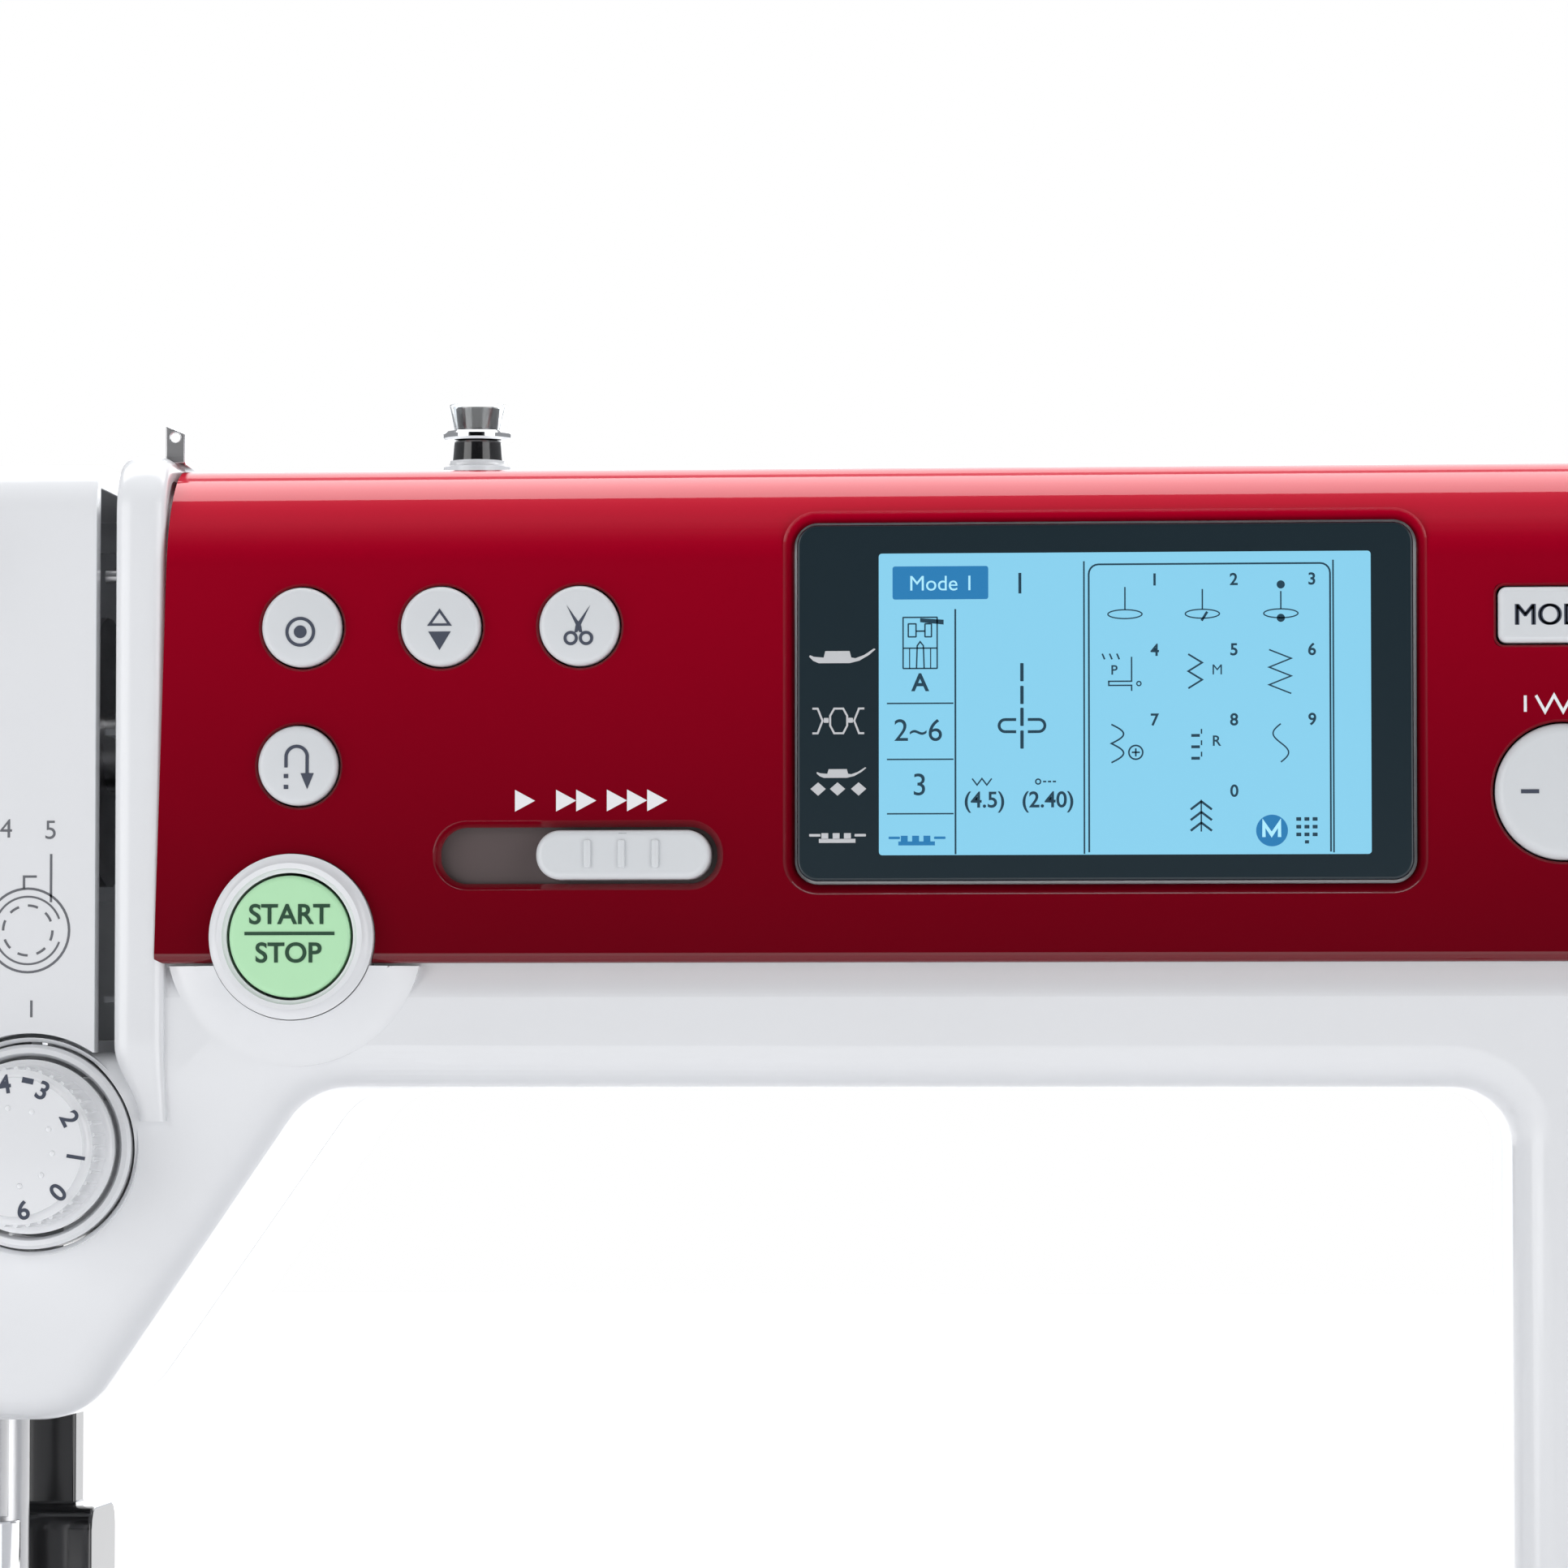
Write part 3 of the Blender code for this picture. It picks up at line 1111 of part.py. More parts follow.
def presser_parts():
    at = (NEEDLE_X, PRESSER_Y)
    holder_top = FOOT_SOLE + 30 * MM
    piece("presser_bar", rod("Z", at, holder_top + GAP, BAR_TOP - 4 * MM, BAR_RADIUS), "steel")
    x0, x1 = NEEDLE_X - 4 * MM, NEEDLE_X + 4 * MM
    ankle_low = FOOT_PIN_Z + 1.6 * MM
    holder = box(x0, x1, FOOT_PIN_Y - 3.5 * MM, PRESSER_Y + 4 * MM, ankle_low, holder_top)
    screw = rod("X", (PRESSER_Y, holder_top - 8 * MM), x0 - 8 * MM, x0 + 1 * MM, 3.5 * MM, 16)
    piece("foot_holder", holder, "chrome", joined=[screw])
    sole = prism(
        "Z",
        rectangle(NEEDLE_X - FOOT_HALF, NEEDLE_X + FOOT_HALF, -18 * MM, 14 * MM, 3 * MM, 3),
        FOOT_SOLE,
        FOOT_SOLE + FOOT_THICK,
    )
    cheek_top = FOOT_PIN_Z + 1.2 * MM
    joined = []
    for x in (NEEDLE_X - 6.5 * MM, NEEDLE_X + 4.5 * MM):
        y0, y1 = FOOT_PIN_Y - 2 * MM, FOOT_PIN_Y + 2 * MM
        joined.append(box(x, x + 2 * MM, y0, y1, FOOT_SOLE + FOOT_THICK / 2, cheek_top))
    pin_way = (NEEDLE_X - 5.5 * MM, NEEDLE_X + 5.5 * MM)
    joined.append(rod("X", (FOOT_PIN_Y, FOOT_PIN_Z), *pin_way, 0.9 * MM, 12))
    slot = box(NEEDLE_X - 4 * MM, NEEDLE_X + 4 * MM, -2.2 * MM, 2.2 * MM, FOOT_SOLE - PAST, cheek_top)
    toe = box(NEEDLE_X - 1 * MM, NEEDLE_X + 1 * MM, -19 * MM, 0, FOOT_SOLE - PAST, cheek_top)
    pivot = (NEEDLE_X, FOOT_PIN_Y, FOOT_PIN_Z)
    piece("presser_foot", sole, "chrome", pivot=pivot, joined=joined, cuts=[slot, toe])


def presser_lifter():
    hub_way = (NEEDLE_X - 8 * MM, NEEDLE_X + 7 * MM)
    pivot = (LIFTER_Y, LIFTER_Z)
    grip = rectangle(LIFTER_Y - 8 * MM, LIFTER_Y + 10 * MM, LIFTER_Z - 44 * MM, LIFTER_Z - 22 * MM, 3 * MM, 3)
    arm = box(NEEDLE_X - 4 * MM, NEEDLE_X + 6 * MM, LIFTER_Y - 3 * MM, LIFTER_Y + 3 * MM,
              LIFTER_Z - 24 * MM, LIFTER_Z)
    joined = [arm, prism("X", grip, NEEDLE_X - 9 * MM, NEEDLE_X + 9 * MM)]
    shape = rod("X", pivot, *hub_way, 5 * MM, 20)
    piece("presser_lifter", shape, "black_plastic", pivot=(NEEDLE_X, *pivot), joined=joined)


def hook_parts():
    at = (NEEDLE_X, HOOK_Y)
    floor = HOOK_BOTTOM + 2 * MM
    cup_inner = CASE_OUTER + GAP
    hub = 3 * MM
    cup = [
        (LOWER_Z + GEAR_PITCH - 0.4 * MM, hub),
        (HOOK_BOTTOM, hub),
        (HOOK_BOTTOM, HOOK_RADIUS),
        (HOOK_TOP, HOOK_RADIUS),
        (HOOK_TOP, cup_inner),
        (floor, cup_inner),
    ]
    pinion = bevel_gear("Z", at, LOWER_Z, PINION_TEETH, PINION_PITCH, GEAR_PITCH, 0.5)
    piece("rotary_hook", turned("Z", at, cup, 32), "steel", pivot=(*at, HOOK_BOTTOM), joined=[pinion])
    case_low = floor + GAP
    case_floor = case_low + 2 * MM
    case_top = HOOK_TOP + 2 * MM
    case = [(case_low, CASE_OUTER), (case_top, CASE_OUTER), (case_top, CASE_INNER), (case_floor, CASE_INNER)]
    piece("bobbin_case", turned("Z", at, case, 32), "black_plastic")
    low = case_floor + GAP
    high = low + BOBBIN_HEIGHT
    flange = 1 * MM
    bobbin = [
        (low, BOBBIN_RADIUS),
        (low + flange, BOBBIN_RADIUS),
        (low + flange, BOBBIN_HUB),
        (high - flange, BOBBIN_HUB),
        (high - flange, BOBBIN_RADIUS),
        (high, BOBBIN_RADIUS),
        (high, BOBBIN_BORE),
        (low, BOBBIN_BORE),
    ]
    piece("bobbin", turned("Z", at, bobbin, 24, closed=True), "clear_plastic", pivot=(*at, low))


def needle_plate_and_feed():
    x0, x1 = NEEDLE_X - PLATE_HALF, NEEDLE_X + PLATE_HALF
    z0, z1 = BED_TOP - PLATE_THICK, BED_TOP
    plate = box(x0, x1, PLATE_FRONT, PLATE_BACK, z0, z1)
    row_half = 1.4 * MM
    row_y = (-5.5 * MM, 12 * MM)
    travel = 2.5 * MM
    side = 0.5 * MM
    rows = (NEEDLE_X - 7.5 * MM, NEEDLE_X + 7.5 * MM)
    cuts = [
        box(NEEDLE_X - 4 * MM, NEEDLE_X + 4 * MM, -1 * MM, 1 * MM, z0 - PAST, z1 + PAST)
    ]
    for x in rows:
        wide = row_half + side
        y0, y1 = row_y[0] - travel - side, row_y[1] + travel + side
        cuts.append(box(x - wide, x + wide, y0, y1, z0 - PAST, z1 + PAST))
    piece("needle_plate", plate, "steel", cuts=cuts)
    cover = box(x0, x1, COVER_FRONT, PLATE_FRONT - GAP, z0, z1)
    piece("hook_cover", cover, "clear_plastic")
    row_low = HOOK_TOP + 3.2 * MM
    teeth = 9
    top = BED_TOP - 0.2 * MM
    pitch = (row_y[1] - row_y[0]) / teeth
    outline = [(row_y[1], row_low), (row_y[0], row_low)]
    for k in range(teeth):
        outline.append((row_y[0] + k * pitch, top - 0.8 * MM))
        outline.append((row_y[0] + (k + 0.8) * pitch, top))
    outline.append((row_y[1], top - 0.8 * MM))
    bar_y = (4 * MM, 11.5 * MM)
    bar = box(rows[0] - row_half, rows[1] + row_half, *bar_y, HOOK_TOP - 3 * MM, row_low + 1 * MM)
    joined = [prism("X", outline, x - row_half, x + row_half) for x in rows]
    piece("feed_dog", bar, "steel", joined=joined)


# ---- power inlet --------------------------------------------------------------------------------


def power_parts():
    y0, y1 = SOCKET_SPAN
    z0, z1 = SOCKET_HEIGHT
    out = RIGHT_X + 1 * MM
    socket = box(RIGHT_X - 16 * MM, out, y0 + GAP, y1 - GAP, z0 + GAP, z1 - GAP)
    rim = 4 * MM
    hollow = box(RIGHT_X - 12 * MM, out + PAST, y0 + rim, y1 - rim, z0 + rim, z1 - rim)
    piece("power_socket", socket, "black_plastic", cuts=[hollow])
    y0, y1 = SWITCH_SPAN
    z0, z1 = SWITCH_HEIGHT
    edge = 1 * MM
    mid = (z0 + z1) / 2
    face = RIGHT_X + 1.5 * MM
    back = RIGHT_X - 7 * MM
    outline = [
        (back, mid - 5 * MM),
        (face, z0 + edge),
        (face - 0.8 * MM, mid),
        (face, z1 - edge),
        (back, mid + 5 * MM),
    ]
    rocker = prism("Y", outline, y0 + edge, y1 - edge)
    piece("power_switch", rocker, "black_plastic", pivot=(back + 2 * MM, (y0 + y1) / 2, mid))


def main():
    clear_scene()
    for build in (
        base_tray, feet, bed_housing, free_arm_shell, front_shell, rear_shell, face_cover,
        thread_plate, control_panel, extension_table, round_keys, start_button, speed_slider,
        screen, right_keys, tension, thread_guide, winder_guide, winder_spindle, spool_well,
        top_lid, carry_handle, upper_shaft, handwheel, lower_shaft, belts, motor, arm_frame,
        take_up_lever, needle_parts, presser_parts, presser_lifter, hook_parts,
        needle_plate_and_feed, power_parts,
    ):
        build()


main()
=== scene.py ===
import json
import math

import bmesh
import bpy
import numpy as np
from bpy.props import FloatProperty, FloatVectorProperty, PointerProperty
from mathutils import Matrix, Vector


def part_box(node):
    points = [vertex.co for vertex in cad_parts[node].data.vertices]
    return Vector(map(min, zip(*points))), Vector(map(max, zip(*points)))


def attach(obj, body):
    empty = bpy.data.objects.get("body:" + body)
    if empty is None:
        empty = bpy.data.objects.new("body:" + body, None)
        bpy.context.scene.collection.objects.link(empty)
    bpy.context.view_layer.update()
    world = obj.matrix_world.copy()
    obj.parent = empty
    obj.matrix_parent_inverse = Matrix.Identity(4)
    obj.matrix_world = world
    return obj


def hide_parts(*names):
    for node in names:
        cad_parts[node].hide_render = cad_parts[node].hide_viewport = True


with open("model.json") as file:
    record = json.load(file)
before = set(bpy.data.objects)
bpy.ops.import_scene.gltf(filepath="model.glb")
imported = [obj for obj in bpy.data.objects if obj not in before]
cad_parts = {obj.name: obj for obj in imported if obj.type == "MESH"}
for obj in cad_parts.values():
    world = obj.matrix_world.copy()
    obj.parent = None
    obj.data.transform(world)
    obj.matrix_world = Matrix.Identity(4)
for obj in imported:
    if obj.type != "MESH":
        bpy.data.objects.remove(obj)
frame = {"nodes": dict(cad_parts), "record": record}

bl_info = {
    "name": "Sewing Machine Surfaces",
    "version": (1, 0, 0),
    "blender": (4, 5, 0),
    "location": "View3D > Sidebar > Sewing",
    "description": "Fine surfaces, prints and finishes of a household sewing machine",
    "category": "Object",
}

MM = 0.001
BOX = {name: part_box(name) for name in frame["nodes"]}
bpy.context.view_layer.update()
POLE = 0.02


def low(node, axis):
    """The lowest coordinate of a CAD node along x, y or z (0, 1 or 2), in millimetres."""
    return BOX[node][0][axis] / MM


def high(node, axis):
    return BOX[node][1][axis] / MM


def middle(node):
    return [(BOX[node][0][axis] + BOX[node][1][axis]) / 2 / MM for axis in range(3)]


def face_middle(node):
    """The middle of a CAD node as seen from the front, (x, z)."""
    return middle(node)[0], middle(node)[2]


NEEDLE_X = middle("needle")[0]
BED_TOP = high("bed_housing", 2)
ARM_TOP = high("rear_shell", 2)
ARM_BOTTOM = BED_TOP + 112
HEAD_BOTTOM = low("face_cover", 2)
RIGHT_X = high("rear_shell", 0)
PILLAR_LEFT = low("bed_housing", 0) - 0.3
FACE_LEFT = low("face_cover", 0)
FACE_RIGHT = high("face_cover", 0)
HEAD_SPLIT = FACE_RIGHT + 0.3
ARM_HALF = high("face_cover", 1)
BED_HALF = high("bed_housing", 1)
FREE_HALF = high("free_arm_shell", 1)
PANEL_LEFT = low("control_panel", 0)
PANEL_RIGHT = high("control_panel", 0)
PANEL_FRONT = low("control_panel", 1)
PANEL_BOTTOM = low("control_panel", 2)
PANEL_TOP = high("control_panel", 2)
RIB_LEFT = NEEDLE_X + 26.1
SHELF = HEAD_BOTTOM + 43.8
DIAL = face_middle("tension_dial")
SHAFT_Z = middle("handwheel")[2]
WALL = 3
SCREEN_LIP = 1.25
SLOT_LIP = 0.8
KEY_LIP = 0.3
KEY_GAP = 0.2
RING_GAP = 0.1


# ---- finishes -----------------------------------------------------------------------------------


def finish(name, colour, roughness, metallic=0.0, coat=0.0, grain=0.0, scale=900.0, mottle=0.03,
           specular=0.5, transmission=0.0, alpha=1.0, glow=None, glow_strength=0.0):
    """One procedural material. A fine noise in Object coordinates gives the moulding grain as a bump,
    and a broad noise shifts the colour and the roughness a little."""
    if name in bpy.data.materials:
        return bpy.data.materials[name]
    made = bpy.data.materials.new(name)
    made.use_nodes = True
    nodes, links = made.node_tree.nodes, made.node_tree.links
    shader = nodes["Principled BSDF"]
    shader.inputs["Metallic"].default_value = metallic
    shader.inputs["Coat Weight"].default_value = coat
    shader.inputs["Coat Roughness"].default_value = 0.04
    shader.inputs["Specular IOR Level"].default_value = specular
    shader.inputs["Transmission Weight"].default_value = transmission
    shader.inputs["Alpha"].default_value = alpha
    if glow:
        shader.inputs["Emission Color"].default_value = (*glow, 1)
        shader.inputs["Emission Strength"].default_value = glow_strength
    place = nodes.new("ShaderNodeTexCoord")
    broad = nodes.new("ShaderNodeTexNoise")
    broad.inputs["Scale"].default_value = 35
    broad.inputs["Detail"].default_value = 3
    links.new(place.outputs["Object"], broad.inputs["Vector"])
    tint = nodes.new("ShaderNodeMix")
    tint.data_type = "RGBA"
    links.new(broad.outputs["Fac"], tint.inputs["Factor"])
    tint.inputs[6].default_value = (*[c * (1 - mottle) for c in colour], 1)
    tint.inputs[7].default_value = (*[min(1, c * (1 + mottle)) for c in colour], 1)
    links.new(tint.outputs[2], shader.inputs["Base Color"])
    rough = nodes.new("ShaderNodeMapRange")
    rough.inputs["To Min"].default_value = roughness * 0.88
    rough.inputs["To Max"].default_value = roughness * 1.12
    links.new(broad.outputs["Fac"], rough.inputs["Value"])
    links.new(rough.outputs["Result"], shader.inputs["Roughness"])
    if grain:
        fine = nodes.new("ShaderNodeTexNoise")
        fine.inputs["Scale"].default_value = scale
        fine.inputs["Detail"].default_value = 2
        links.new(place.outputs["Object"], fine.inputs["Vector"])
        bump = nodes.new("ShaderNodeBump")
        bump.inputs["Strength"].default_value = grain
        bump.inputs["Distance"].default_value = 0.05 * MM
        links.new(fine.outputs["Fac"], bump.inputs["Height"])
        links.new(bump.outputs["Normal"], shader.inputs["Normal"])
    return made


def brushed(name, colour, roughness, stretch=(8, 400, 400), strength=0.25):
    """Metal with fine parallel scratches: a noise stretched along one axis bumps and dulls it."""
    made = finish(name, colour, roughness, metallic=1.0, mottle=0.05)
    nodes, links = made.node_tree.nodes, made.node_tree.links
    if "Bump" in nodes:
        return made
    place = nodes["Texture Coordinate"]
    turn = nodes.new("ShaderNodeMapping")
    turn.inputs["Scale"].default_value = stretch
    lines = nodes.new("ShaderNodeTexNoise")
    lines.inputs["Scale"].default_value = 6
    lines.inputs["Detail"].default_value = 4
    bump = nodes.new("ShaderNodeBump")
    bump.inputs["Strength"].default_value = strength
    bump.inputs["Distance"].default_value = 0.03 * MM
    links.new(place.outputs["Object"], turn.inputs["Vector"])
    links.new(turn.outputs["Vector"], lines.inputs["Vector"])
    links.new(lines.outputs["Fac"], bump.inputs["Height"])
    links.new(bump.outputs["Normal"], nodes["Principled BSDF"].inputs["Normal"])
    return made


def settings():
    return bpy.context.scene.sewing


def white():
    return finish("white_gloss", settings().white, 0.22, coat=0.25, grain=0.05, scale=1400, mottle=0.01)


def red():
    """The panel's deep red, clear-coated, with painted light in its colour: darker towards its lower edge and much
    lighter towards its top and its roll, by height in Object coordinates, in place of the light falling from above.
    """
    if "red_gloss" in bpy.data.materials:
        return bpy.data.materials["red_gloss"]
    deep = settings().red
    made = finish("red_gloss", deep, 0.3, coat=1.0, mottle=0.02, specular=0.04)
    nodes, links = made.node_tree.nodes, made.node_tree.links
    part = nodes.new("ShaderNodeSeparateXYZ")
    links.new(nodes["Texture Coordinate"].outputs["Object"], part.inputs["Vector"])
    # Painted light: a colour ramp by height, dark at the lower edge and light on the top roll, stands in for shade
    # below and the light from above.
    painted_light_ramp = nodes.new("ShaderNodeValToRGB")
    height = nodes.new("ShaderNodeMapRange")
    height.inputs["From Min"].default_value = PANEL_BOTTOM * MM
    height.inputs["From Max"].default_value = PANEL_TOP * MM
    links.new(part.outputs["Z"], height.inputs["Value"])
    links.new(height.outputs["Result"], painted_light_ramp.inputs["Fac"])
    stops = painted_light_ramp.color_ramp.elements
    stops.new(0.8)
    for stop, share in zip(stops, (0.62, 1.35, 2.9)):
        stop.color = (*[min(1, c * share) for c in deep], 1)
    links.new(painted_light_ramp.outputs["Color"], nodes["Principled BSDF"].inputs["Base Color"])
    nodes.remove(nodes["Mix"])
    return made


def key_grey():
    return finish("key_satin", (0.66, 0.68, 0.70), 0.32, grain=0.08, scale=2200, mottle=0.02)


def dark_ink():
    return finish("slate_ink", (0.045, 0.055, 0.085), 0.5, grain=0.05, mottle=0.05)


def pale_ink():
    return finish("pale_ink", (0.55, 0.56, 0.58), 0.5, grain=0.05, mottle=0.05)


def grey_ink():
    return finish("grey_ink", (0.13, 0.135, 0.15), 0.5, grain=0.05, mottle=0.05)


def white_ink():
    return finish("white_ink", (0.82, 0.82, 0.84), 0.4, mottle=0.02)


def black():
    return finish("black_gloss", (0.012, 0.012, 0.013), 0.12, coat=0.6, grain=0.03, mottle=0.05)


def chrome():
    return finish("polished_plate", (0.82, 0.82, 0.83), 0.09, metallic=1.0, mottle=0.03)


def steel():
    return brushed("ground_steel", (0.56, 0.56, 0.57), 0.3)


def cast():
    return finish("sand_cast", (0.48, 0.49, 0.5), 0.5, metallic=1.0, grain=0.6, scale=700, mottle=0.08)


def rubber():
    return finish("foot_rubber", (0.025, 0.025, 0.026), 0.75, grain=0.4, scale=1500, mottle=0.15)


def tray_grey():
    return finish("tray_grey", (0.42, 0.43, 0.45), 0.42, grain=0.2, scale=1200, mottle=0.03)


def clear():
    return finish("clear_cover", (0.80, 0.84, 0.86), 0.06, coat=0.4, transmission=0.75, mottle=0.01)


# ---- outlines: arrays of (u, v) -----------------------------------------------------------------


def rounded(corners, steps=14):
    """An outline from corners (u, v, radius); each radius is an arc tangent to both sides, the
    start direction turned through equal angles about the arc's centre."""
    parts = []
    count = len(corners)
    for i, (u, v, radius) in enumerate(corners):
        here = np.array((u, v), float)
        if not radius:
            parts.append(here[None])
            continue
        before = np.array(corners[i - 1][:2]) - here
        after = np.array(corners[(i + 1) % count][:2]) - here
        before, after = before / np.linalg.norm(before), after / np.linalg.norm(after)
        half = math.acos(np.clip(before @ after, -1, 1)) / 2
        centre = here + (before + after) / np.linalg.norm(before + after) * radius / math.sin(half)
        start = here + before * radius / math.tan(half) - centre
        end = here + after * radius / math.tan(half) - centre
        turn = math.atan2(start[0] * end[1] - start[1] * end[0], start @ end)
        a = np.linspace(0, turn, steps + 1)[:, None]
        parts.append(centre + start * np.cos(a) + np.array((-start[1], start[0])) * np.sin(a))
    return np.concatenate(parts)


def rectangle(u0, u1, v0, v1, radius=0.0, steps=10):
    return rounded([(u0, v0, radius), (u1, v0, radius), (u1, v1, radius), (u0, v1, radius)], steps)


def circle(centre, radius, count=64):
    a = (np.arange(count) + 0.5) / count * 2 * math.pi
    return np.stack((centre[0] + radius * np.cos(a), centre[1] + radius * np.sin(a)), axis=1)


def zigzag(u, v, width, height, turns):
    """A line that turns left and right about (u, v), falling evenly over its height."""
    k = np.arange(turns + 1)
    return np.column_stack((u + width * ((k % 2) - 0.5), v - height / 2 + height * k / turns))


def inset(outline, depth):
    """The outline moved inwards by depth, each corner along its mitre."""
    before, after = np.roll(outline, 1, axis=0), np.roll(outline, -1, axis=0)
    area = (before[:, 0] * outline[:, 1] - outline[:, 0] * before[:, 1]).sum()
    side = np.sign(area)
    into = outline - before
    out = after - outline
    into /= np.linalg.norm(into, axis=1)[:, None]
    out /= np.linalg.norm(out, axis=1)[:, None]
    n0 = np.stack((-into[:, 1], into[:, 0]), axis=1) * side
    n1 = np.stack((-out[:, 1], out[:, 0]), axis=1) * side
    return outline + (n0 + n1) * depth / (1 + (n0 * n1).sum(axis=1))[:, None]


# ---- meshes -------------------------------------------------------------------------------------

AXES = {"X": (2, 0, 1), "Y": (0, 2, 1), "Z": (0, 1, 2)}


def lift(axis, w, outline):
    """Points in space of an outline in the plane across the axis, at w along it."""
    flat = np.column_stack((outline, np.full(len(outline), w)))
    return flat[:, AXES[axis]]


def mesh_piece(name, points, faces, material):
    """A mesh object from points in millimetres, its faces turned outwards."""
    mesh = bpy.data.meshes.new(name)
    mesh.from_pydata((points * MM).tolist(), [], faces)
    work = bmesh.new()
    work.from_mesh(mesh)
    bmesh.ops.recalc_face_normals(work, faces=work.faces)
    work.to_mesh(mesh)
    work.free()
    obj = bpy.data.objects.new(name, mesh)
    bpy.context.scene.collection.objects.link(obj)
    mesh.materials.append(material)
    return obj


def smooth(obj, angle=32, weighted=True):
    """Smooth shading with edges sharp past an angle, and normals weighted by face area."""
    obj.data.shade_smooth()
    obj.data.set_sharp_from_angle(angle=math.radians(angle))
    if weighted:
        step = obj.modifiers.new("weighted", "WEIGHTED_NORMAL")
        step.keep_sharp = True
    return obj


def loft(name, rings, material, closed=False, caps=(True, True)):
    """A surface through rings of equal count, each an array of points: quads join ring to ring, and the
    end rings are filled unless the rings close on themselves or stay open."""
    count, size = len(rings), len(rings[0])
    points = np.concatenate(rings)
    i = np.arange(size)
    spans = np.arange(count if closed else count - 1)
    a = spans[:, None] * size
    b = (spans[:, None] + 1) % count * size
    quads = np.stack((a + i, a + (i + 1) % size, b + (i + 1) % size, b + i), axis=2).reshape(-1, 4)
    faces = quads.tolist()
    if not closed:
        if caps[0]:
            faces.append(i.tolist())
        if caps[1]:
            faces.append((i + (count - 1) * size).tolist())
    return mesh_piece(name, points, faces, material)


def soft_rings(axis, outline, flat, end, radius, steps=10):
    """Rings of a prism whose far edge is a quarter round: the inset is r (1 - cos a) and the place is
    end - r (1 - sin a)."""
    way = math.copysign(1, end - flat)
    rings = [lift(axis, flat, outline)]
    for a in np.linspace(0, math.pi / 2, steps + 1):
        w = end - way * radius * (1 - math.sin(a))
        rings.append(lift(axis, w, inset(outline, radius * (1 - math.cos(a)))))
    return rings


def turned_rings(axis, centre, profile, count=64):
    """Circles about a centre line, one for each (place, radius) of the profile."""
    return [lift(axis, w, circle(centre, max(r, POLE), count)) for w, r in profile]


def turned(name, axis, centre, profile, material, count=64, closed=False, angle=32):
    obj = loft(name, turned_rings(axis, centre, profile, count), material, closed)
    return smooth(obj, angle)


def bow(start, end, bulge, steps=8):
    """A quarter ellipse from start to end (place, radius), leaving start along the radius if bulge."""
    a = np.linspace(0, math.pi / 2, steps + 1)
    s = np.sin(a) if bulge else 1 - np.cos(a)
    t = 1 - np.cos(a) if bulge else np.sin(a)
    w = start[0] + (end[0] - start[0]) * s
    r = start[1] + (end[1] - start[1]) * t
    return list(zip(w, r))


def cutter(axis, outline, start, end):
    return loft("cutter", [lift(axis, start, outline), lift(axis, end, outline)], black())


def block_cutter(x0, x1, y0, y1, z0, z1, radius=0.0):
    return cutter("Z", rectangle(x0, x1, y0, y1, radius), z0, z1)


def carve(obj, cutters, joined=()):
    """The piece with shapes joined to it and cut from it, worked out now and stored in its mesh."""
    for word, others in (("UNION", joined), ("DIFFERENCE", cutters)):
        for other in others:
            step = obj.modifiers.new("carve", "BOOLEAN")
            step.operation = word
            step.object = other
    applied(obj)
    for other in (*joined, *cutters):
        bpy.data.objects.remove(other, do_unlink=True)
    return obj


def applied(obj):
    """Stores the result of the piece's modifiers as its mesh."""
    graph = bpy.context.evaluated_depsgraph_get()
    made = bpy.data.meshes.new_from_object(obj.evaluated_get(graph), depsgraph=graph)
    obj.modifiers.clear()
    old = obj.data
    obj.data = made
    bpy.data.meshes.remove(old)
    made.name = obj.name
    return obj


def bevel(obj, width, segments=3, angle=35):
    """Small rounds on the sharp edges."""
    step = obj.modifiers.new("round", "BEVEL")
    step.width = width * MM
    step.segments = segments
    step.limit_method = "ANGLE"
    step.angle_limit = math.radians(angle)
    return obj


def split_at(obj, planes):
    """Cuts the mesh along planes given as (axis number, place), without removing anything."""
    work = bmesh.new()
    work.from_mesh(obj.data)
    bmesh.ops.triangulate(work, faces=work.faces)
    for axis, place in planes:
        normal = [0, 0, 0]
        normal[axis] = 1
        point = [0, 0, 0]
        point[axis] = place * MM
        everything = list(work.verts) + list(work.edges) + list(work.faces)
        bmesh.ops.bisect_plane(work, geom=everything, plane_co=point, plane_no=normal, dist=1e-7)
    work.to_mesh(obj.data)
    work.free()


def reshape(obj, rule):
    """Moves all the mesh's points at once by a rule on the (n, 3) array in millimetres."""
    points = np.empty(len(obj.data.vertices) * 3)
    obj.data.vertices.foreach_get("co", points)
    obj.data.vertices.foreach_set("co", (rule(points.reshape(-1, 3) / MM) * MM).ravel())
    obj.data.update()
    return obj


def settle(obj, body, slot, *nodes):
    """Puts a piece on its body and hides the CAD nodes it stands for; its slot is not used."""
    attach(obj, body)
    if nodes:
        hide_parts(*nodes)
    return obj


BODY_OF = {node: body for body, nodes in frame["record"]["behaviour"]["bodies"].items() for node in nodes}
SLOT_OF = {part["node"]: part["material_slot"] for part in frame["record"]["subparts"]}


def refined(node, material, width=0.35, segments=2, angle=40):
    """A copy of a CAD node with its points merged, its edges rounded and its faces shaded smooth."""
    source = frame["nodes"][node]
    mesh = source.data.copy()
    work = bmesh.new()
    work.from_mesh(mesh)
    bmesh.ops.remove_doubles(work, verts=work.verts, dist=1e-6)
    bmesh.ops.dissolve_limit(work, angle_limit=math.radians(1), verts=work.verts, edges=work.edges)
    work.to_mesh(mesh)
    work.free()
    mesh.materials.clear()
    mesh.materials.append(material)
    obj = bpy.data.objects.new("fine_" + node, mesh)
    bpy.context.scene.collection.objects.link(obj)
    if width:
        bevel(obj, width, segments, angle)
    smooth(obj, angle)
    return settle(obj, BODY_OF[node], SLOT_OF[node], node)


# ---- prints: flat shapes on a face --------------------------------------------------------------


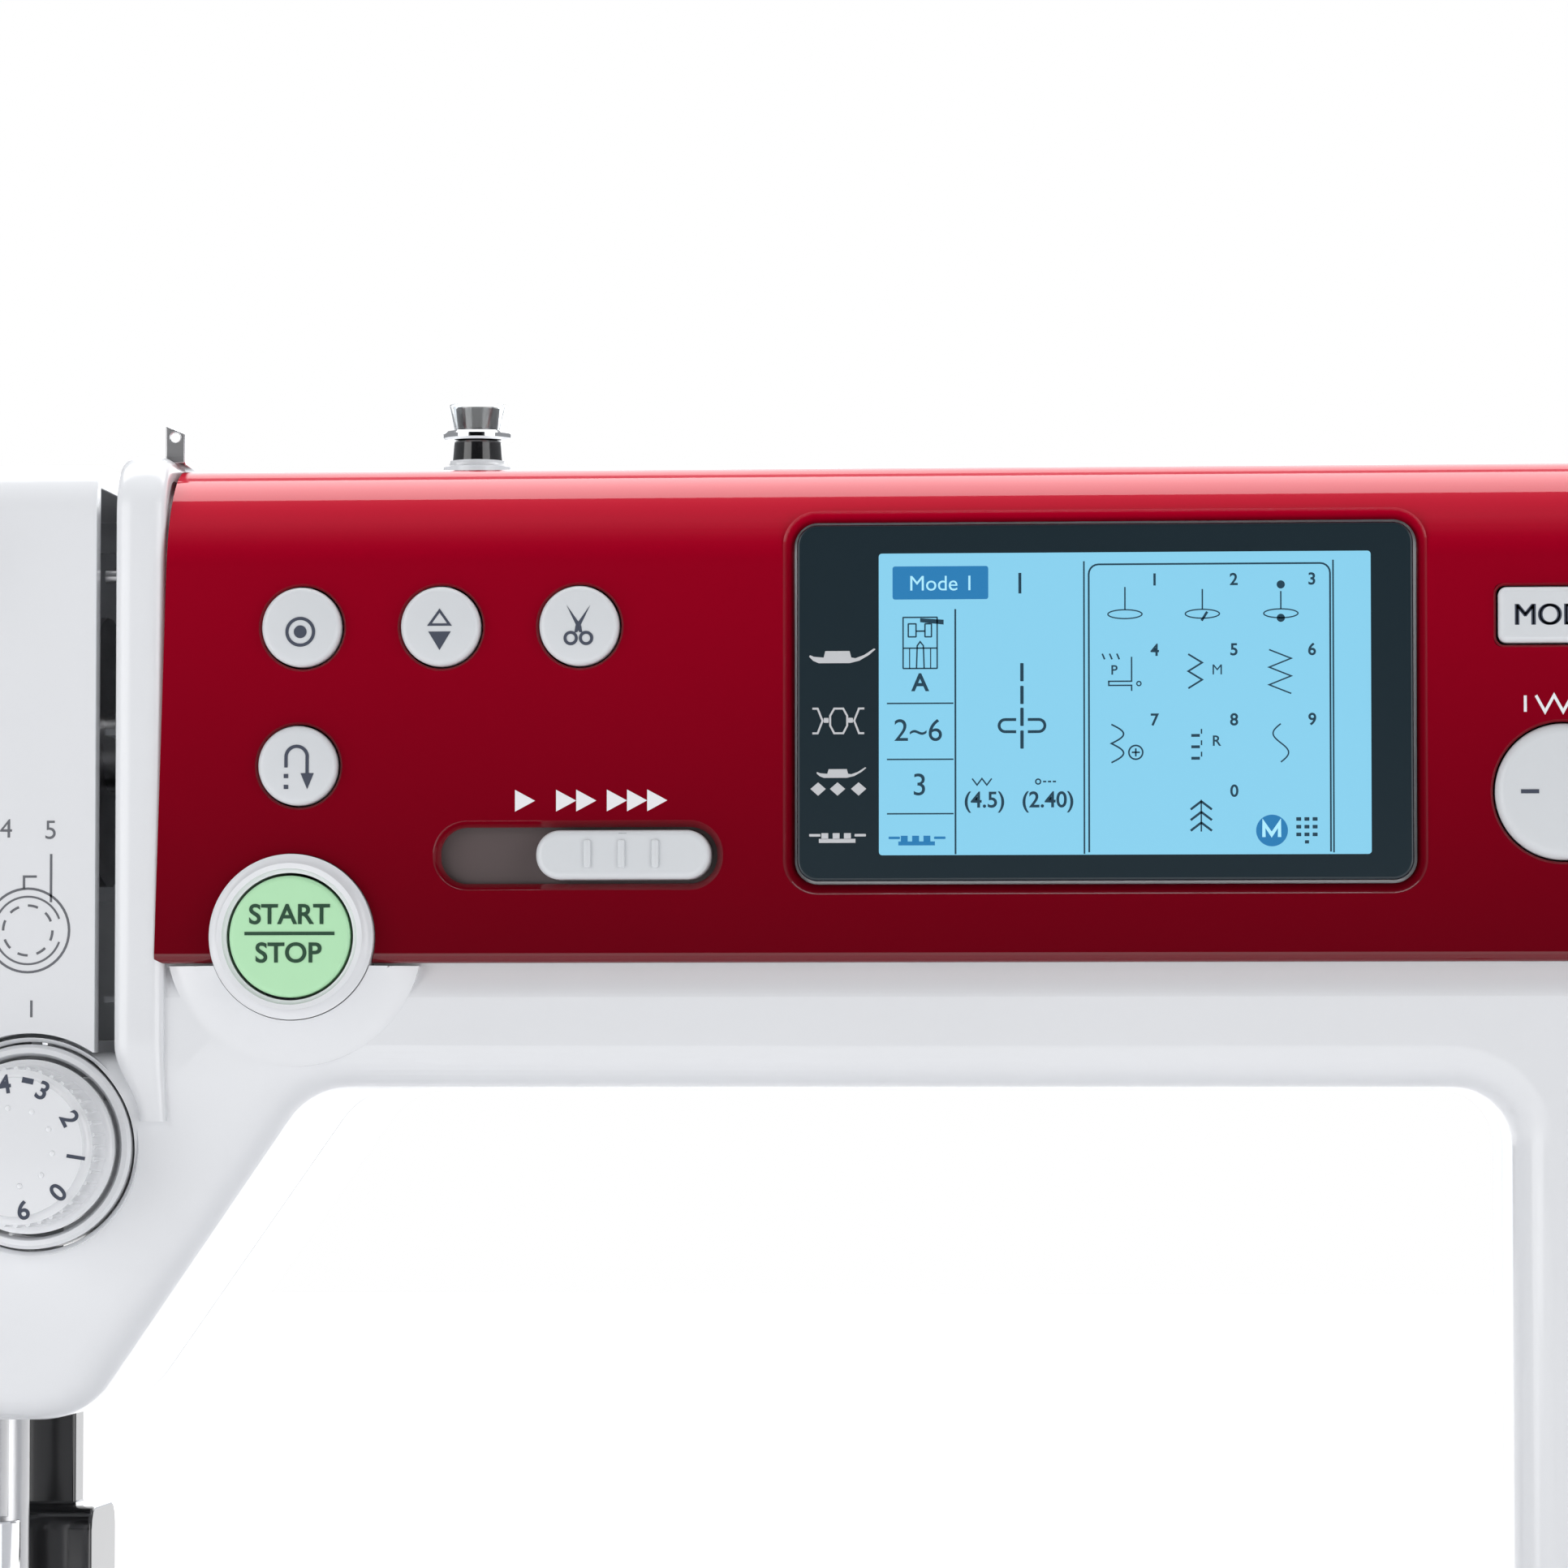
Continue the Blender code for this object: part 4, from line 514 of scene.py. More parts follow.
class Print:
    """Flat marks across Y, gathered as points and faces, in millimetres: u to the right of and v down
    from an origin given as (x, z)."""

    def __init__(self, origin):
        self.origin = origin
        self.points, self.faces, self.count = [], [], 0

    def add(self, points, faces):
        points = np.asarray(points, float)
        self.points.append(points)
        self.faces.extend([[k + self.count for k in face] for face in faces])
        self.count += len(points)

    def shape(self, points):
        """A filled outline."""
        self.add(points, [list(range(len(points)))])

    def band(self, line, width, closed=False):
        """A line of even width: its points moved half the width to both sides along their normals."""
        line = np.asarray(line, float)
        after = np.roll(line, -1, axis=0) - line
        if not closed:
            after[-1] = after[-2]
        before = np.roll(after, 1, axis=0)
        if not closed:
            before[0] = after[0]
        after /= np.linalg.norm(after, axis=1)[:, None]
        before /= np.linalg.norm(before, axis=1)[:, None]
        normal = after + before
        normal = np.stack((-normal[:, 1], normal[:, 0]), axis=1)
        normal /= np.maximum((normal ** 2).sum(axis=1) / 2, 0.2)[:, None]
        side = normal * width / 2
        n = len(line)
        spans = n if closed else n - 1
        faces = [[k, (k + 1) % n, n + (k + 1) % n, n + k] for k in range(spans)]
        self.add(np.concatenate((line + side, line - side)), faces)

    def line(self, *points, width=0.3):
        self.band(points, width)

    def arc(self, centre, radius, start, end, width=0.3, steps=24):
        a = np.radians(np.linspace(start, end, steps + 1))
        whole = abs(end - start) >= 360
        a = a[:-1] if whole else a
        line = np.stack((centre[0] + radius * np.cos(a), centre[1] + radius * np.sin(a)), axis=1)
        self.band(line, width, closed=whole)

    def disc(self, centre, radius, steps=24):
        self.shape(circle(centre, radius, steps))

    def rect(self, u0, u1, v0, v1, radius=0.0):
        self.shape(rectangle(u0, u1, v0, v1, radius, 4))

    def frame(self, u0, u1, v0, v1, radius, width):
        self.band(rectangle(u0, u1, v0, v1, radius, 5), width, closed=True)

    def text(self, words, centre, size, turn=0.0, bold=0.0):
        """Plain letters, centred, as a mesh."""
        curve = bpy.data.curves.new("letters", "FONT")
        curve.body = words
        curve.align_x = "CENTER"
        curve.align_y = "CENTER"
        curve.size = size * 1.38
        curve.offset = bold * size
        holder = bpy.data.objects.new("letters", curve)
        bpy.context.scene.collection.objects.link(holder)
        graph = bpy.context.evaluated_depsgraph_get()
        mesh = bpy.data.meshes.new_from_object(holder.evaluated_get(graph), depsgraph=graph)
        points = np.empty(len(mesh.vertices) * 3)
        mesh.vertices.foreach_get("co", points)
        points = points.reshape(-1, 3)[:, :2]
        mid = (points.min(axis=0) + points.max(axis=0)) / 2
        points = (points - mid) * (1, -1)
        a = math.radians(turn)
        spin = np.array(((math.cos(a), math.sin(a)), (-math.sin(a), math.cos(a))))
        faces = [list(face.vertices) for face in mesh.polygons]
        self.add(points @ spin + centre, faces)
        bpy.data.objects.remove(holder, do_unlink=True)
        bpy.data.meshes.remove(mesh)

    def build(self, name, y, material, body, slot, rule=None, thick=0.03):
        """One thin piece, its face at y or where the rule says for its (x, z)."""
        flat = np.concatenate(self.points) * (1, -1) + self.origin
        depth = rule(flat[:, 0], flat[:, 1]) if rule else np.full(len(flat), y)
        points = np.column_stack((flat[:, 0], depth, flat[:, 1]))
        mesh = bpy.data.meshes.new(name)
        mesh.from_pydata((points * MM).tolist(), [], self.faces)
        obj = bpy.data.objects.new(name, mesh)
        bpy.context.scene.collection.objects.link(obj)
        mesh.materials.append(material)
        work = bmesh.new()
        work.from_mesh(mesh)
        for face in work.faces:
            face.normal_update()
        bmesh.ops.reverse_faces(work, faces=[face for face in work.faces if face.normal.y > 0])
        work.to_mesh(mesh)
        work.free()
        wall = obj.modifiers.new("ink", "SOLIDIFY")
        wall.thickness = thick * MM
        wall.offset = -1
        return settle(obj, body, slot)


# ---- casings ------------------------------------------------------------------------------------


def head_outline(left):
    """Arm, pillar and head as one loop of (x, z), with the head's slanted right side."""
    foot = NEEDLE_X + 20.7
    return rounded(
        [
            (PILLAR_LEFT, BED_TOP + 0.3, 0),
            (RIGHT_X, BED_TOP + 0.3, 0),
            (RIGHT_X, ARM_TOP, 8),
            *left,
            (foot, HEAD_BOTTOM, 10.5),
            (foot + 27.7, ARM_BOTTOM, 9),
            (PILLAR_LEFT, ARM_BOTTOM, 7),
        ],
        18,
    )


def hollow_of(outline, top):
    """The inside of a casing: the outline less its wall, open towards the face cover and the bed."""
    inner = inset(outline, WALL)
    x = np.where(inner[:, 0] < HEAD_SPLIT + WALL + 0.3, HEAD_SPLIT - 2, inner[:, 0])
    z = np.where(inner[:, 1] < BED_TOP + WALL + 0.6, BED_TOP - 2, np.minimum(inner[:, 1], top))
    return np.column_stack((x, z))


def hole(axis, centre, radius, start, end, count=64):
    return cutter(axis, circle(centre, radius, count), start, end)


def lip(name, outline, y, width, depth, material, body="machine", slot="red_panel"):
    """A soft bevel round an opening, from its wall out to the face: out = w (1 - cos^1.7 a) and
    in = 1.5 w (1 - sin^1.7 a), nearly a straight slope with rounded ends."""
    rings = [lift("Y", y + depth, outline)]
    for a in np.linspace(0, math.pi / 2, 9):
        grown = inset(outline, -width * (1 - math.cos(a) ** 1.7))
        rings.append(lift("Y", y + 1.5 * width * (1 - math.sin(a) ** 1.7) - 0.02, grown))
    rings.append(lift("Y", y + depth, inset(outline, -width)))
    return settle(smooth(loft(name, rings, material, closed=True)), body, slot)


def slope_back(points):
    """Leans the head's lower front back: y moves towards zero in proportion to the drop under the
    crease, less and less towards the arm."""
    x, y, z = points.T
    drop = np.clip((ARM_BOTTOM + 3 - z) / 43, 0, 1)
    share = np.clip((NEEDLE_X + 88 - x) / 30, 0, 1)
    front = np.clip((-y - 20) / (ARM_HALF - 20), 0, 1)
    return np.column_stack((x, y + 5 * drop * share * front, z))


def cove_outline():
    """The panel's seat in the arm: its floor, its roll over the top, and under it a soft step out to
    the arm's face, an S curve in z."""
    floor = PANEL_FRONT + 2.8
    radius = 9.2
    z = PANEL_TOP - 12
    t = np.linspace(1, 0, 13)
    step = np.column_stack((
        floor + (-ARM_HALF - 0.02 - floor) * (3 * t ** 2 - 2 * t ** 3),
        PANEL_BOTTOM - 0.3 - 4 * t,
    ))
    upper = rounded(
        [
            (floor, z + radius, radius),
            (PANEL_FRONT + 15.8, z + radius, 0),
            (PANEL_FRONT + 15.8, ARM_TOP + 2, 0),
            (-ARM_HALF - 6, ARM_TOP + 2, 0),
            (-ARM_HALF - 6, PANEL_BOTTOM - 4.3, 0),
        ],
        16,
    )
    return np.concatenate((step, upper))


def control_cutters(fit, start, end):
    """Cutters for each control of the panel, wider than the control by a fit."""
    made = []
    for node in ("lock_key", "needle_key", "cutter_key", "reverse_key", "start_ring", "width_key"):
        x, _, z = middle(node)
        grow = RING_GAP if node == "start_ring" else fit
        made.append(hole("Y", (x, z), (high(node, 0) - low(node, 0)) / 2 + grow, start, end))
    made.append(cutter("Y", mode_outline(fit), start, end))
    return made


def mode_outline(grow):
    node = "mode_key"
    return rectangle(low(node, 0) - grow, high(node, 0) + grow, low(node, 2) - grow, high(node, 2) + grow, 1)


def slot_outline(grow=0.0):
    x0, z = low("speed_slider", 0) - 11.5, middle("speed_slider")[2]
    return rectangle(x0 - grow, x0 + 32.6 + grow, z - 3.25 - grow, z + 3.25 + grow, 3.1 + grow, 12)


def screen_outline(grow=0.0):
    node = "screen_window"
    x0, x1 = low(node, 0) - grow, high(node, 0) + grow
    return rectangle(x0, x1, low(node, 2) - grow, high(node, 2) + grow, 2.4 + grow, 12)


def front_casing():
    outline = head_outline([(RIB_LEFT, ARM_TOP, 6), (RIB_LEFT, SHELF, 0), (HEAD_SPLIT, SHELF, 0),
                            (HEAD_SPLIT, HEAD_BOTTOM, 0)])
    shell = loft("front_casing", soft_rings("Y", outline, -0.15, -ARM_HALF, 5), white())
    wall = PANEL_FRONT + 6.5
    cuts = [
        cutter("Y", hollow_of(outline, PANEL_TOP - 6.6), wall, 2),
        cutter("X", cove_outline(), PANEL_LEFT - 0.3, PANEL_RIGHT + 0.3),
        hole("Y", DIAL, 12.4, -ARM_HALF - 3, -43.5, 96),
        hole("Y", DIAL, 3.5, -46, wall + 2),
        block_cutter(NEEDLE_X - 9, NEEDLE_X + 8, -9, 2, HEAD_BOTTOM - 2, SHELF + 2),
        hole("X", (0, SHAFT_Z), 6, RIGHT_X - 5, RIGHT_X + 2),
        block_cutter(RIB_LEFT - 2, RIB_LEFT + 5, -20, 2, SHELF, PANEL_TOP - 6.6),
        cutter("Y", slot_outline(0.9), PANEL_FRONT, wall + 2),
        *control_cutters(0.6, -ARM_HALF - 6, wall + 2),
    ]
    carve(shell, cuts)
    split_at(shell, [(2, ARM_BOTTOM + 3), (0, NEEDLE_X + 88), (0, NEEDLE_X + 58)])
    smooth(reshape(shell, slope_back), 30)
    settle(shell, "machine", "white_shell", "front_shell")
    collar = [(-43.5, 12.1), (-49.6, 12.1), (-50.2, 11.7), (-50.2, 11.1), (-49.6, 10.75), (-43.5, 10.75)]
    ring = turned("dial_collar", "Y", DIAL, collar, white(), 96, closed=True)
    settle(ring, "machine", "white_shell")
    lip("dial_well_edge", circle(DIAL, 12.4, 96), -ARM_HALF + 0.9, 0.5, 2, white(), slot="white_shell")
    casing_rib()


def casing_rib():
    """The upright rib beside the thread slot. Its section is a superellipse, swept over the top edge, down
    the arm's front and round the dial: ring = spine + side u + outward h (1 - (2u/w)^2.6)."""
    x = RIB_LEFT + 2.5
    a = np.linspace(math.pi / 2, 0, 12)[:, None]
    top = np.column_stack((np.full(6, x), np.linspace(-36, -43, 6), np.full(6, ARM_TOP - 0.4)))
    bend = np.hstack((np.full((12, 1), x), -44 - 6 * np.cos(a), ARM_TOP - 6.4 + 6 * np.sin(a)))
    down = np.column_stack((np.full(10, x), np.full(10, -50.0), np.linspace(ARM_TOP - 8, ARM_BOTTOM + 6, 10)))
    t = np.linspace(0, 1, 14)
    flare = np.column_stack((
        x + 1.6 * (3 * t ** 2 - 2 * t ** 3), -50 + 0.4 * t, ARM_BOTTOM + 5 - 9 * t))
    spine = np.concatenate((top, bend, down, flare))
    out = np.gradient(spine, axis=0)
    out = np.column_stack((np.zeros(len(spine)), out[:, 2], -out[:, 1]))
    out /= np.linalg.norm(out, axis=1)[:, None]
    width = np.concatenate((np.full(28, 5.9), 5.9 - 2.8 * (3 * t ** 2 - 2 * t ** 3)))
    height = np.concatenate((np.full(28, 1.5), 1.5 - 0.5 * t))
    u = np.cos(np.linspace(0, math.pi, 25))
    h = (1 - np.abs(u) ** 2.6) ** (1 / 2.6)
    rings = []
    for p, n, w, k in zip(spine, out, width, height):
        front = p + np.outer(u * w / 2, (1, 0, 0)) + np.outer(h * k, n)
        back = p + np.outer(u[::-1] * w / 2, (1, 0, 0)) - n * 1.5
        rings.append(np.concatenate((front, back)))
    settle(smooth(loft("casing_rib", rings, white()), 40), "machine", "white_shell")


def rear_casing():
    outline = head_outline([(HEAD_SPLIT, ARM_TOP, 0), (HEAD_SPLIT, HEAD_BOTTOM, 0)])
    shell = loft("rear_casing", soft_rings("Y", outline, 0.15, ARM_HALF, 5), white())
    tray = "spool_tray"
    y, z = middle("carry_handle")[1], high("carry_handle", 2) - 4.5
    lugs = []
    for x in (low("carry_handle", 0) - 0.3, high("carry_handle", 0) - 5.7):
        section = rounded([
            (ARM_HALF - 2, z - 7, 0), (y + 5.5, z - 7, 5), (y + 5.5, z + 7, 5), (ARM_HALF - 2, z + 7, 0)])
        lugs.append(cutter("X", section, x, x + 6))
    lift_x = middle("presser_lifter")[0]
    cuts = [
        cutter("Y", hollow_of(outline, ARM_TOP - WALL), -2, ARM_HALF - WALL),
        block_cutter(NEEDLE_X - 9, NEEDLE_X + 8, -2, 22, HEAD_BOTTOM - 2, SHELF + 2),
        block_cutter(lift_x - 11.3, lift_x + 11.3, 28, ARM_HALF + 2, HEAD_BOTTOM - 2, HEAD_BOTTOM + 20, 2),
        hole("X", (0, SHAFT_Z), 6, RIGHT_X - 5, RIGHT_X + 2),
        block_cutter(low(tray, 0) - 0.6, high(tray, 0) + 0.6, low(tray, 1) - 0.6, high(tray, 1) + 0.9,
                     ARM_TOP - 6, ARM_TOP + 2, 1),
    ]
    smooth(carve(shell, cuts, lugs), 30)
    settle(shell, "machine", "white_shell", "rear_shell")
    louvres = []
    for k in range(7):
        z0 = BED_TOP + 26 + 7 * k
        outline = rectangle(PILLAR_LEFT + 48, RIGHT_X - 24, z0, z0 + 3, 1.45, 8)
        rings = soft_rings("Y", outline, ARM_HALF - 0.5, ARM_HALF + 0.8, 0.7, 5)
        louvres.append(loft("vent_lip", rings, white()))
    vents = join("rear_ribs", louvres)
    settle(smooth(vents), "machine", "white_shell")


def join(name, pieces):
    """One piece from several of one material."""
    work = bmesh.new()
    for piece in pieces:
        work.from_mesh(piece.data)
    mesh = bpy.data.meshes.new(name)
    work.to_mesh(mesh)
    work.free()
    mesh.materials.append(pieces[0].data.materials[0])
    obj = bpy.data.objects.new(name, mesh)
    bpy.context.scene.collection.objects.link(obj)
    for piece in pieces:
        bpy.data.objects.remove(piece, do_unlink=True)
    return obj


def head_cover():
    section = rectangle(-ARM_HALF, ARM_HALF, HEAD_BOTTOM, ARM_TOP, 6, 16)
    cover = loft("head_cover", soft_rings("X", section, FACE_RIGHT, FACE_LEFT, 5, 12), white())
    lift_x = middle("presser_lifter")[0]
    cuts = [
        block_cutter(FACE_LEFT + WALL, FACE_RIGHT + 2, WALL - ARM_HALF, ARM_HALF - WALL,
                     HEAD_BOTTOM - 2, ARM_TOP - WALL, 2),
        block_cutter(lift_x - 11.3, lift_x + 11.3, 28, ARM_HALF + 2, HEAD_BOTTOM - 2, HEAD_BOTTOM + 20, 2),
    ]
    smooth(carve(cover, cuts), 30)
    settle(cover, "machine", "white_shell", "face_cover")


def slot_plate():
    """The plate between the two thread slots, folded back over the head, with its arch over the dial."""
    x0, x1 = low("thread_plate", 0), high("thread_plate", 0)
    z0 = low("thread_plate", 2)
    section = rounded([(-ARM_HALF, z0, 0), (-0.15, z0, 0), (-0.15, ARM_TOP, 0), (-ARM_HALF, ARM_TOP, 6)], 16)
    plate = loft("slot_plate", [lift("X", x, section) for x in (x0, x1)], white())
    cuts = [
        block_cutter(x0 - 2, x1 + 2, WALL - ARM_HALF, 2, z0 - 2, ARM_TOP - WALL),
        hole("Y", DIAL, 13.4, -ARM_HALF - 2, 0, 96),
    ]
    carve(plate, cuts)
    bevel(plate, 0.7, 4, 40)
    smooth(plate, 60)
    settle(plate, "machine", "white_shell", "thread_plate")
    sheet = Print(DIAL)
    sheet.text("4", (-2.98, -37.67), 2.29)
    sheet.text("5", (2.36, -37.48), 2.29)
    sheet.line((2.45, -34.62), (2.45, -28.91), width=0.29)
    sheet.arc((-0.31, -25.57), 4.95, 0, 360, 0.29, 48)
    sheet.arc((-0.31, -25.57), 4, 200, 340, 0.24)
    sheet.arc((-0.31, -25.57), 4, 20, 160, 0.24)
    for k in range(8):
        sheet.arc((-0.31, -25.57), 2.95, 45 * k, 45 * k + 24, 0.29, 6)
    sheet.line((-0.79, -30.52), (-0.79, -31.95), (0.74, -31.95), width=0.29)
    sheet.line((0.17, -17.29), (0.17, -15.29), width=0.29)
    sheet.build("thread_path_print", -ARM_HALF - 0.03, grey_ink(), "machine", "white_shell")
    ribs = []
    for rise, tall in ((49.38, 0.76), (17.48, 0.76), (10.05, 0.95), (5.86, 0.76)):
        z = DIAL[1] + rise
        ribs.append(block_cutter(x1 + 0.1, RIB_LEFT - 0.1, -44, -30, z - tall / 2, z + tall / 2))
    inner = join("slot_ribs", ribs)
    inner.data.materials[0] = tray_grey()
    settle(smooth(inner), "machine", "grey_plastic")
    z = DIAL[1] + 67.95
    bar = loft("slot_guide_bar", [lift("X", x, circle((-44, z), 0.75, 32)) for x in (x1 + 0.1, RIB_LEFT - 0.1)],
               steel())
    settle(smooth(bar), "machine", "steel")
    # Painted shade: a near-black sheet behind the thread slot stands in for the shade deep inside the head.
    floor = block_cutter(x1 + 0.05, RIB_LEFT - 0.05, -29, -27, SHELF, ARM_TOP - WALL)
    floor.name = "slot_shadow_sheet"
    floor.data.materials[0] = finish("slot_painted_shade", (0.02, 0.02, 0.022), 0.6, mottle=0.05)
    settle(floor, "machine", "white_shell")


def bed():
    x0 = PILLAR_LEFT + 0.3
    outline = rectangle(x0, RIGHT_X, -BED_HALF, BED_HALF, 12, 18)
    z0 = low("bed_housing", 2)
    shell = loft("bed_casing", soft_rings("Z", outline, z0, BED_TOP, 3, 8), white())
    inner = FREE_HALF - WALL
    cuts = [
        block_cutter(x0 + WALL, RIGHT_X - WALL, WALL - BED_HALF, BED_HALF - WALL, z0 - 2, BED_TOP - WALL, 9),
        block_cutter(x0 + 6, RIGHT_X - 6, WALL - ARM_HALF, ARM_HALF - WALL, BED_TOP - 5, BED_TOP + 2),
        block_cutter(PILLAR_LEFT - 2, x0 + 5, -inner, inner, BED_TOP - 51, BED_TOP - WALL),
    ]
    for node, grow in (("power_socket", 0.3), ("power_switch", 1)):
        cuts.append(block_cutter(RIGHT_X - 5, RIGHT_X + 2, low(node, 1) - grow, high(node, 1) + grow,
                                 low(node, 2) - grow, high(node, 2) + grow))
    smooth(carve(shell, cuts), 30)
    settle(shell, "machine", "white_shell", "bed_housing")
    slots = []
    for k in range(8):
        x = PILLAR_LEFT + 30 + 9 * k
        outline = rectangle(x, x + 3, BED_TOP - 50, BED_TOP - 20, 1.45, 8)
        rings = soft_rings("Y", outline, BED_HALF - 0.5, BED_HALF + 0.7, 0.6, 5)
        slots.append(loft("grille", rings, white()))
    settle(smooth(join("bed_rear_ribs", slots)), "machine", "white_shell")


def free_arm():
    node = "free_arm_shell"
    section = rectangle(-FREE_HALF, FREE_HALF, low(node, 2), BED_TOP, 6, 14)
    shell = loft("free_arm", soft_rings("X", section, PILLAR_LEFT, low(node, 0), 5, 10), white())
    plate, cover = "needle_plate", "hook_cover"
    half = FREE_HALF - WALL
    cuts = [
        block_cutter(low(node, 0) + WALL, PILLAR_LEFT + 2, -half, half, low(node, 2) + WALL, BED_TOP - WALL),
        block_cutter(low(plate, 0) - 0.3, high(plate, 0) + 0.3, low(cover, 1) - 0.3, high(plate, 1) + 0.3,
                     BED_TOP - 5, BED_TOP + 2),
    ]
    smooth(carve(shell, cuts), 30)
    settle(shell, "machine", "white_shell", node)


def table():
    node = "extension_table"
    x0, x1 = low(node, 0), high(node, 0)
    z0 = low(node, 2)
    outline = rounded([(x0, -BED_HALF, 14), (x1, -BED_HALF, 0), (x1, BED_HALF, 0), (x0, BED_HALF, 14)], 18)
    shell = loft("sewing_table", soft_rings("Z", outline, z0, BED_TOP, 3, 8), white())
    inner, wall = FREE_HALF + 0.8, 5
    limb, outer = inner + WALL, BED_HALF - WALL
    cuts = [
        block_cutter(low("free_arm_shell", 0) - 1.5, x1 + 2, -inner, inner, z0 - 2, BED_TOP + 2),
        block_cutter(x0 + wall, x1 - wall, -outer, -limb, z0 + WALL, BED_TOP - WALL, 9),
        block_cutter(x0 + wall + 9, x1 - wall, -BED_HALF - 2, 2 - outer, z0 + WALL, BED_TOP - WALL),
        block_cutter(x0 + wall, x1 - wall, limb, outer, z0 - 2, BED_TOP - WALL, 9),
    ]
    smooth(carve(shell, cuts), 30)
    settle(shell, "table", "white_shell", node)
    flap = refined("storage_flap", white(), 0.5, 3)
    x, z = middle("storage_flap")[0], high("storage_flap", 2)
    outline = rectangle(x - 14, x + 14, z - 7, z - 3.4, 1.75, 10)
    rings = soft_rings("Y", outline, -BED_HALF + 0.4, -BED_HALF - 0.9, 0.8, 6)
    pull = loft("flap_pull", rings, tray_grey())
    settle(smooth(pull), BODY_OF["storage_flap"], "white_shell")
    rule = Print((x0 + 30, 0))
    for k in range(19):
        rule.line((10 * k, 0), (10 * k, 2.48 if k % 5 else 4.29), width=0.286)
    ruler = rule.build("bed_rule", 0, grey_ink(), "table", "white_shell")
    reshape(ruler, lambda p: np.column_stack((
        p[:, 0], -BED_HALF + 3.2 - p[:, 2], np.full(len(p), BED_TOP + 0.04))))


# ---- the control panel and its keys -------------------------------------------------------------


def crown(z):
    """How far the panel's face curves back below its middle, growing with the square of the drop."""
    return 0.08 * np.clip((PANEL_BOTTOM + 19.4 - z) / 19.4, 0, 1) ** 2


def panel_body():
    z = PANEL_TOP - 12
    face = np.linspace(PANEL_BOTTOM + 1.2, z - 1, 26)
    roll = rounded([(PANEL_FRONT, z - 0.5, 0), (PANEL_FRONT, PANEL_TOP, 12), (PANEL_FRONT + 15.5, PANEL_TOP, 0),
                    (PANEL_FRONT + 15.5, PANEL_TOP - 2.5, 0), (PANEL_FRONT + 2.5, PANEL_TOP - 2.5, 9.5),
                    (PANEL_FRONT + 2.5, PANEL_BOTTOM, 0)], 24)
    edge = rounded([(PANEL_FRONT + 2.5, PANEL_BOTTOM, 0), (PANEL_FRONT + 0.08, PANEL_BOTTOM, 1.0),
                    (PANEL_FRONT + 0.08, PANEL_BOTTOM + 3, 0)], 8)[1:-1]
    section = np.concatenate((edge, np.column_stack((PANEL_FRONT + crown(face), face)), roll))
    panel = loft("panel", [lift("X", x, section) for x in (PANEL_LEFT, PANEL_RIGHT)], red())
    reshape(panel, panel_edge)
    start, end = PANEL_FRONT - 2, PANEL_FRONT + 5
    cuts = [
        cutter("Y", screen_outline(0.35 + SCREEN_LIP - 0.03), start, end),
        cutter("Y", slot_outline(0.05 + SLOT_LIP - 0.03), start, end),
        *control_cutters(KEY_GAP + KEY_LIP - 0.03, start, end),
    ]
    smooth(carve(panel, cuts), 28)
    settle(panel, "machine", "red_panel", "control_panel")
    lip("screen_edge", screen_outline(0.35), PANEL_FRONT, SCREEN_LIP, 2, red())
    lip("slider_edge", slot_outline(0.05), PANEL_FRONT, SLOT_LIP, 2, red())
    lip("mode_edge", mode_outline(KEY_GAP), PANEL_FRONT, KEY_LIP, 2, red())
    for node in ("lock_key", "needle_key", "cutter_key", "reverse_key", "width_key"):
        x, _, z = middle(node)
        radius = (high(node, 0) - low(node, 0)) / 2 + KEY_GAP
        lip(node + "_edge", circle((x, z), radius, 72), PANEL_FRONT + float(crown(z)), KEY_LIP, 2, red())


def panel_edge(points):
    """The panel's left edge leans a little: it runs left by up to a millimetre towards the bottom."""
    x, y, z = points.T
    lean = np.where(x < 0, 0.8 * (PANEL_TOP - 28 - z) / 28, 0)
    return np.column_stack((x - lean, y, z))


def dome(node, radius, rise):
    """The rule of a key's face: front - rise (1 - (r / radius)^2)."""
    cx, _, cz = middle(node)
    front = low(node, 1) + rise

    def rule(x, z):
        share = np.clip(((x - cx) ** 2 + (z - cz) ** 2) / radius ** 2, 0, 1)
        return front - rise * (1 - share) - 0.06

    return rule


def round_key(node, material, rise=0.14, edge=0.7, slot="grey_plastic"):
    """A round key: a straight wall, a rounded rim and a domed face falling with the radius squared."""
    x, _, z = middle(node)
    radius = (high(node, 0) - low(node, 0)) / 2
    front = low(node, 1) + rise
    a = np.linspace(0, math.pi / 2, 8)
    profile = [(high(node, 1), radius), (front + edge, radius)]
    profile += list(zip(front + edge * (1 - np.sin(a)), radius - edge * (1 - np.cos(a))))
    r = np.linspace(radius - edge, 0, 12)[1:]
    profile += list(zip(front - rise * (1 - (r / (radius - edge)) ** 2), r))
    key = turned(node + "_cap", "Y", (x, z), profile, material, 96, angle=50)
    return settle(key, BODY_OF[node], slot, node)


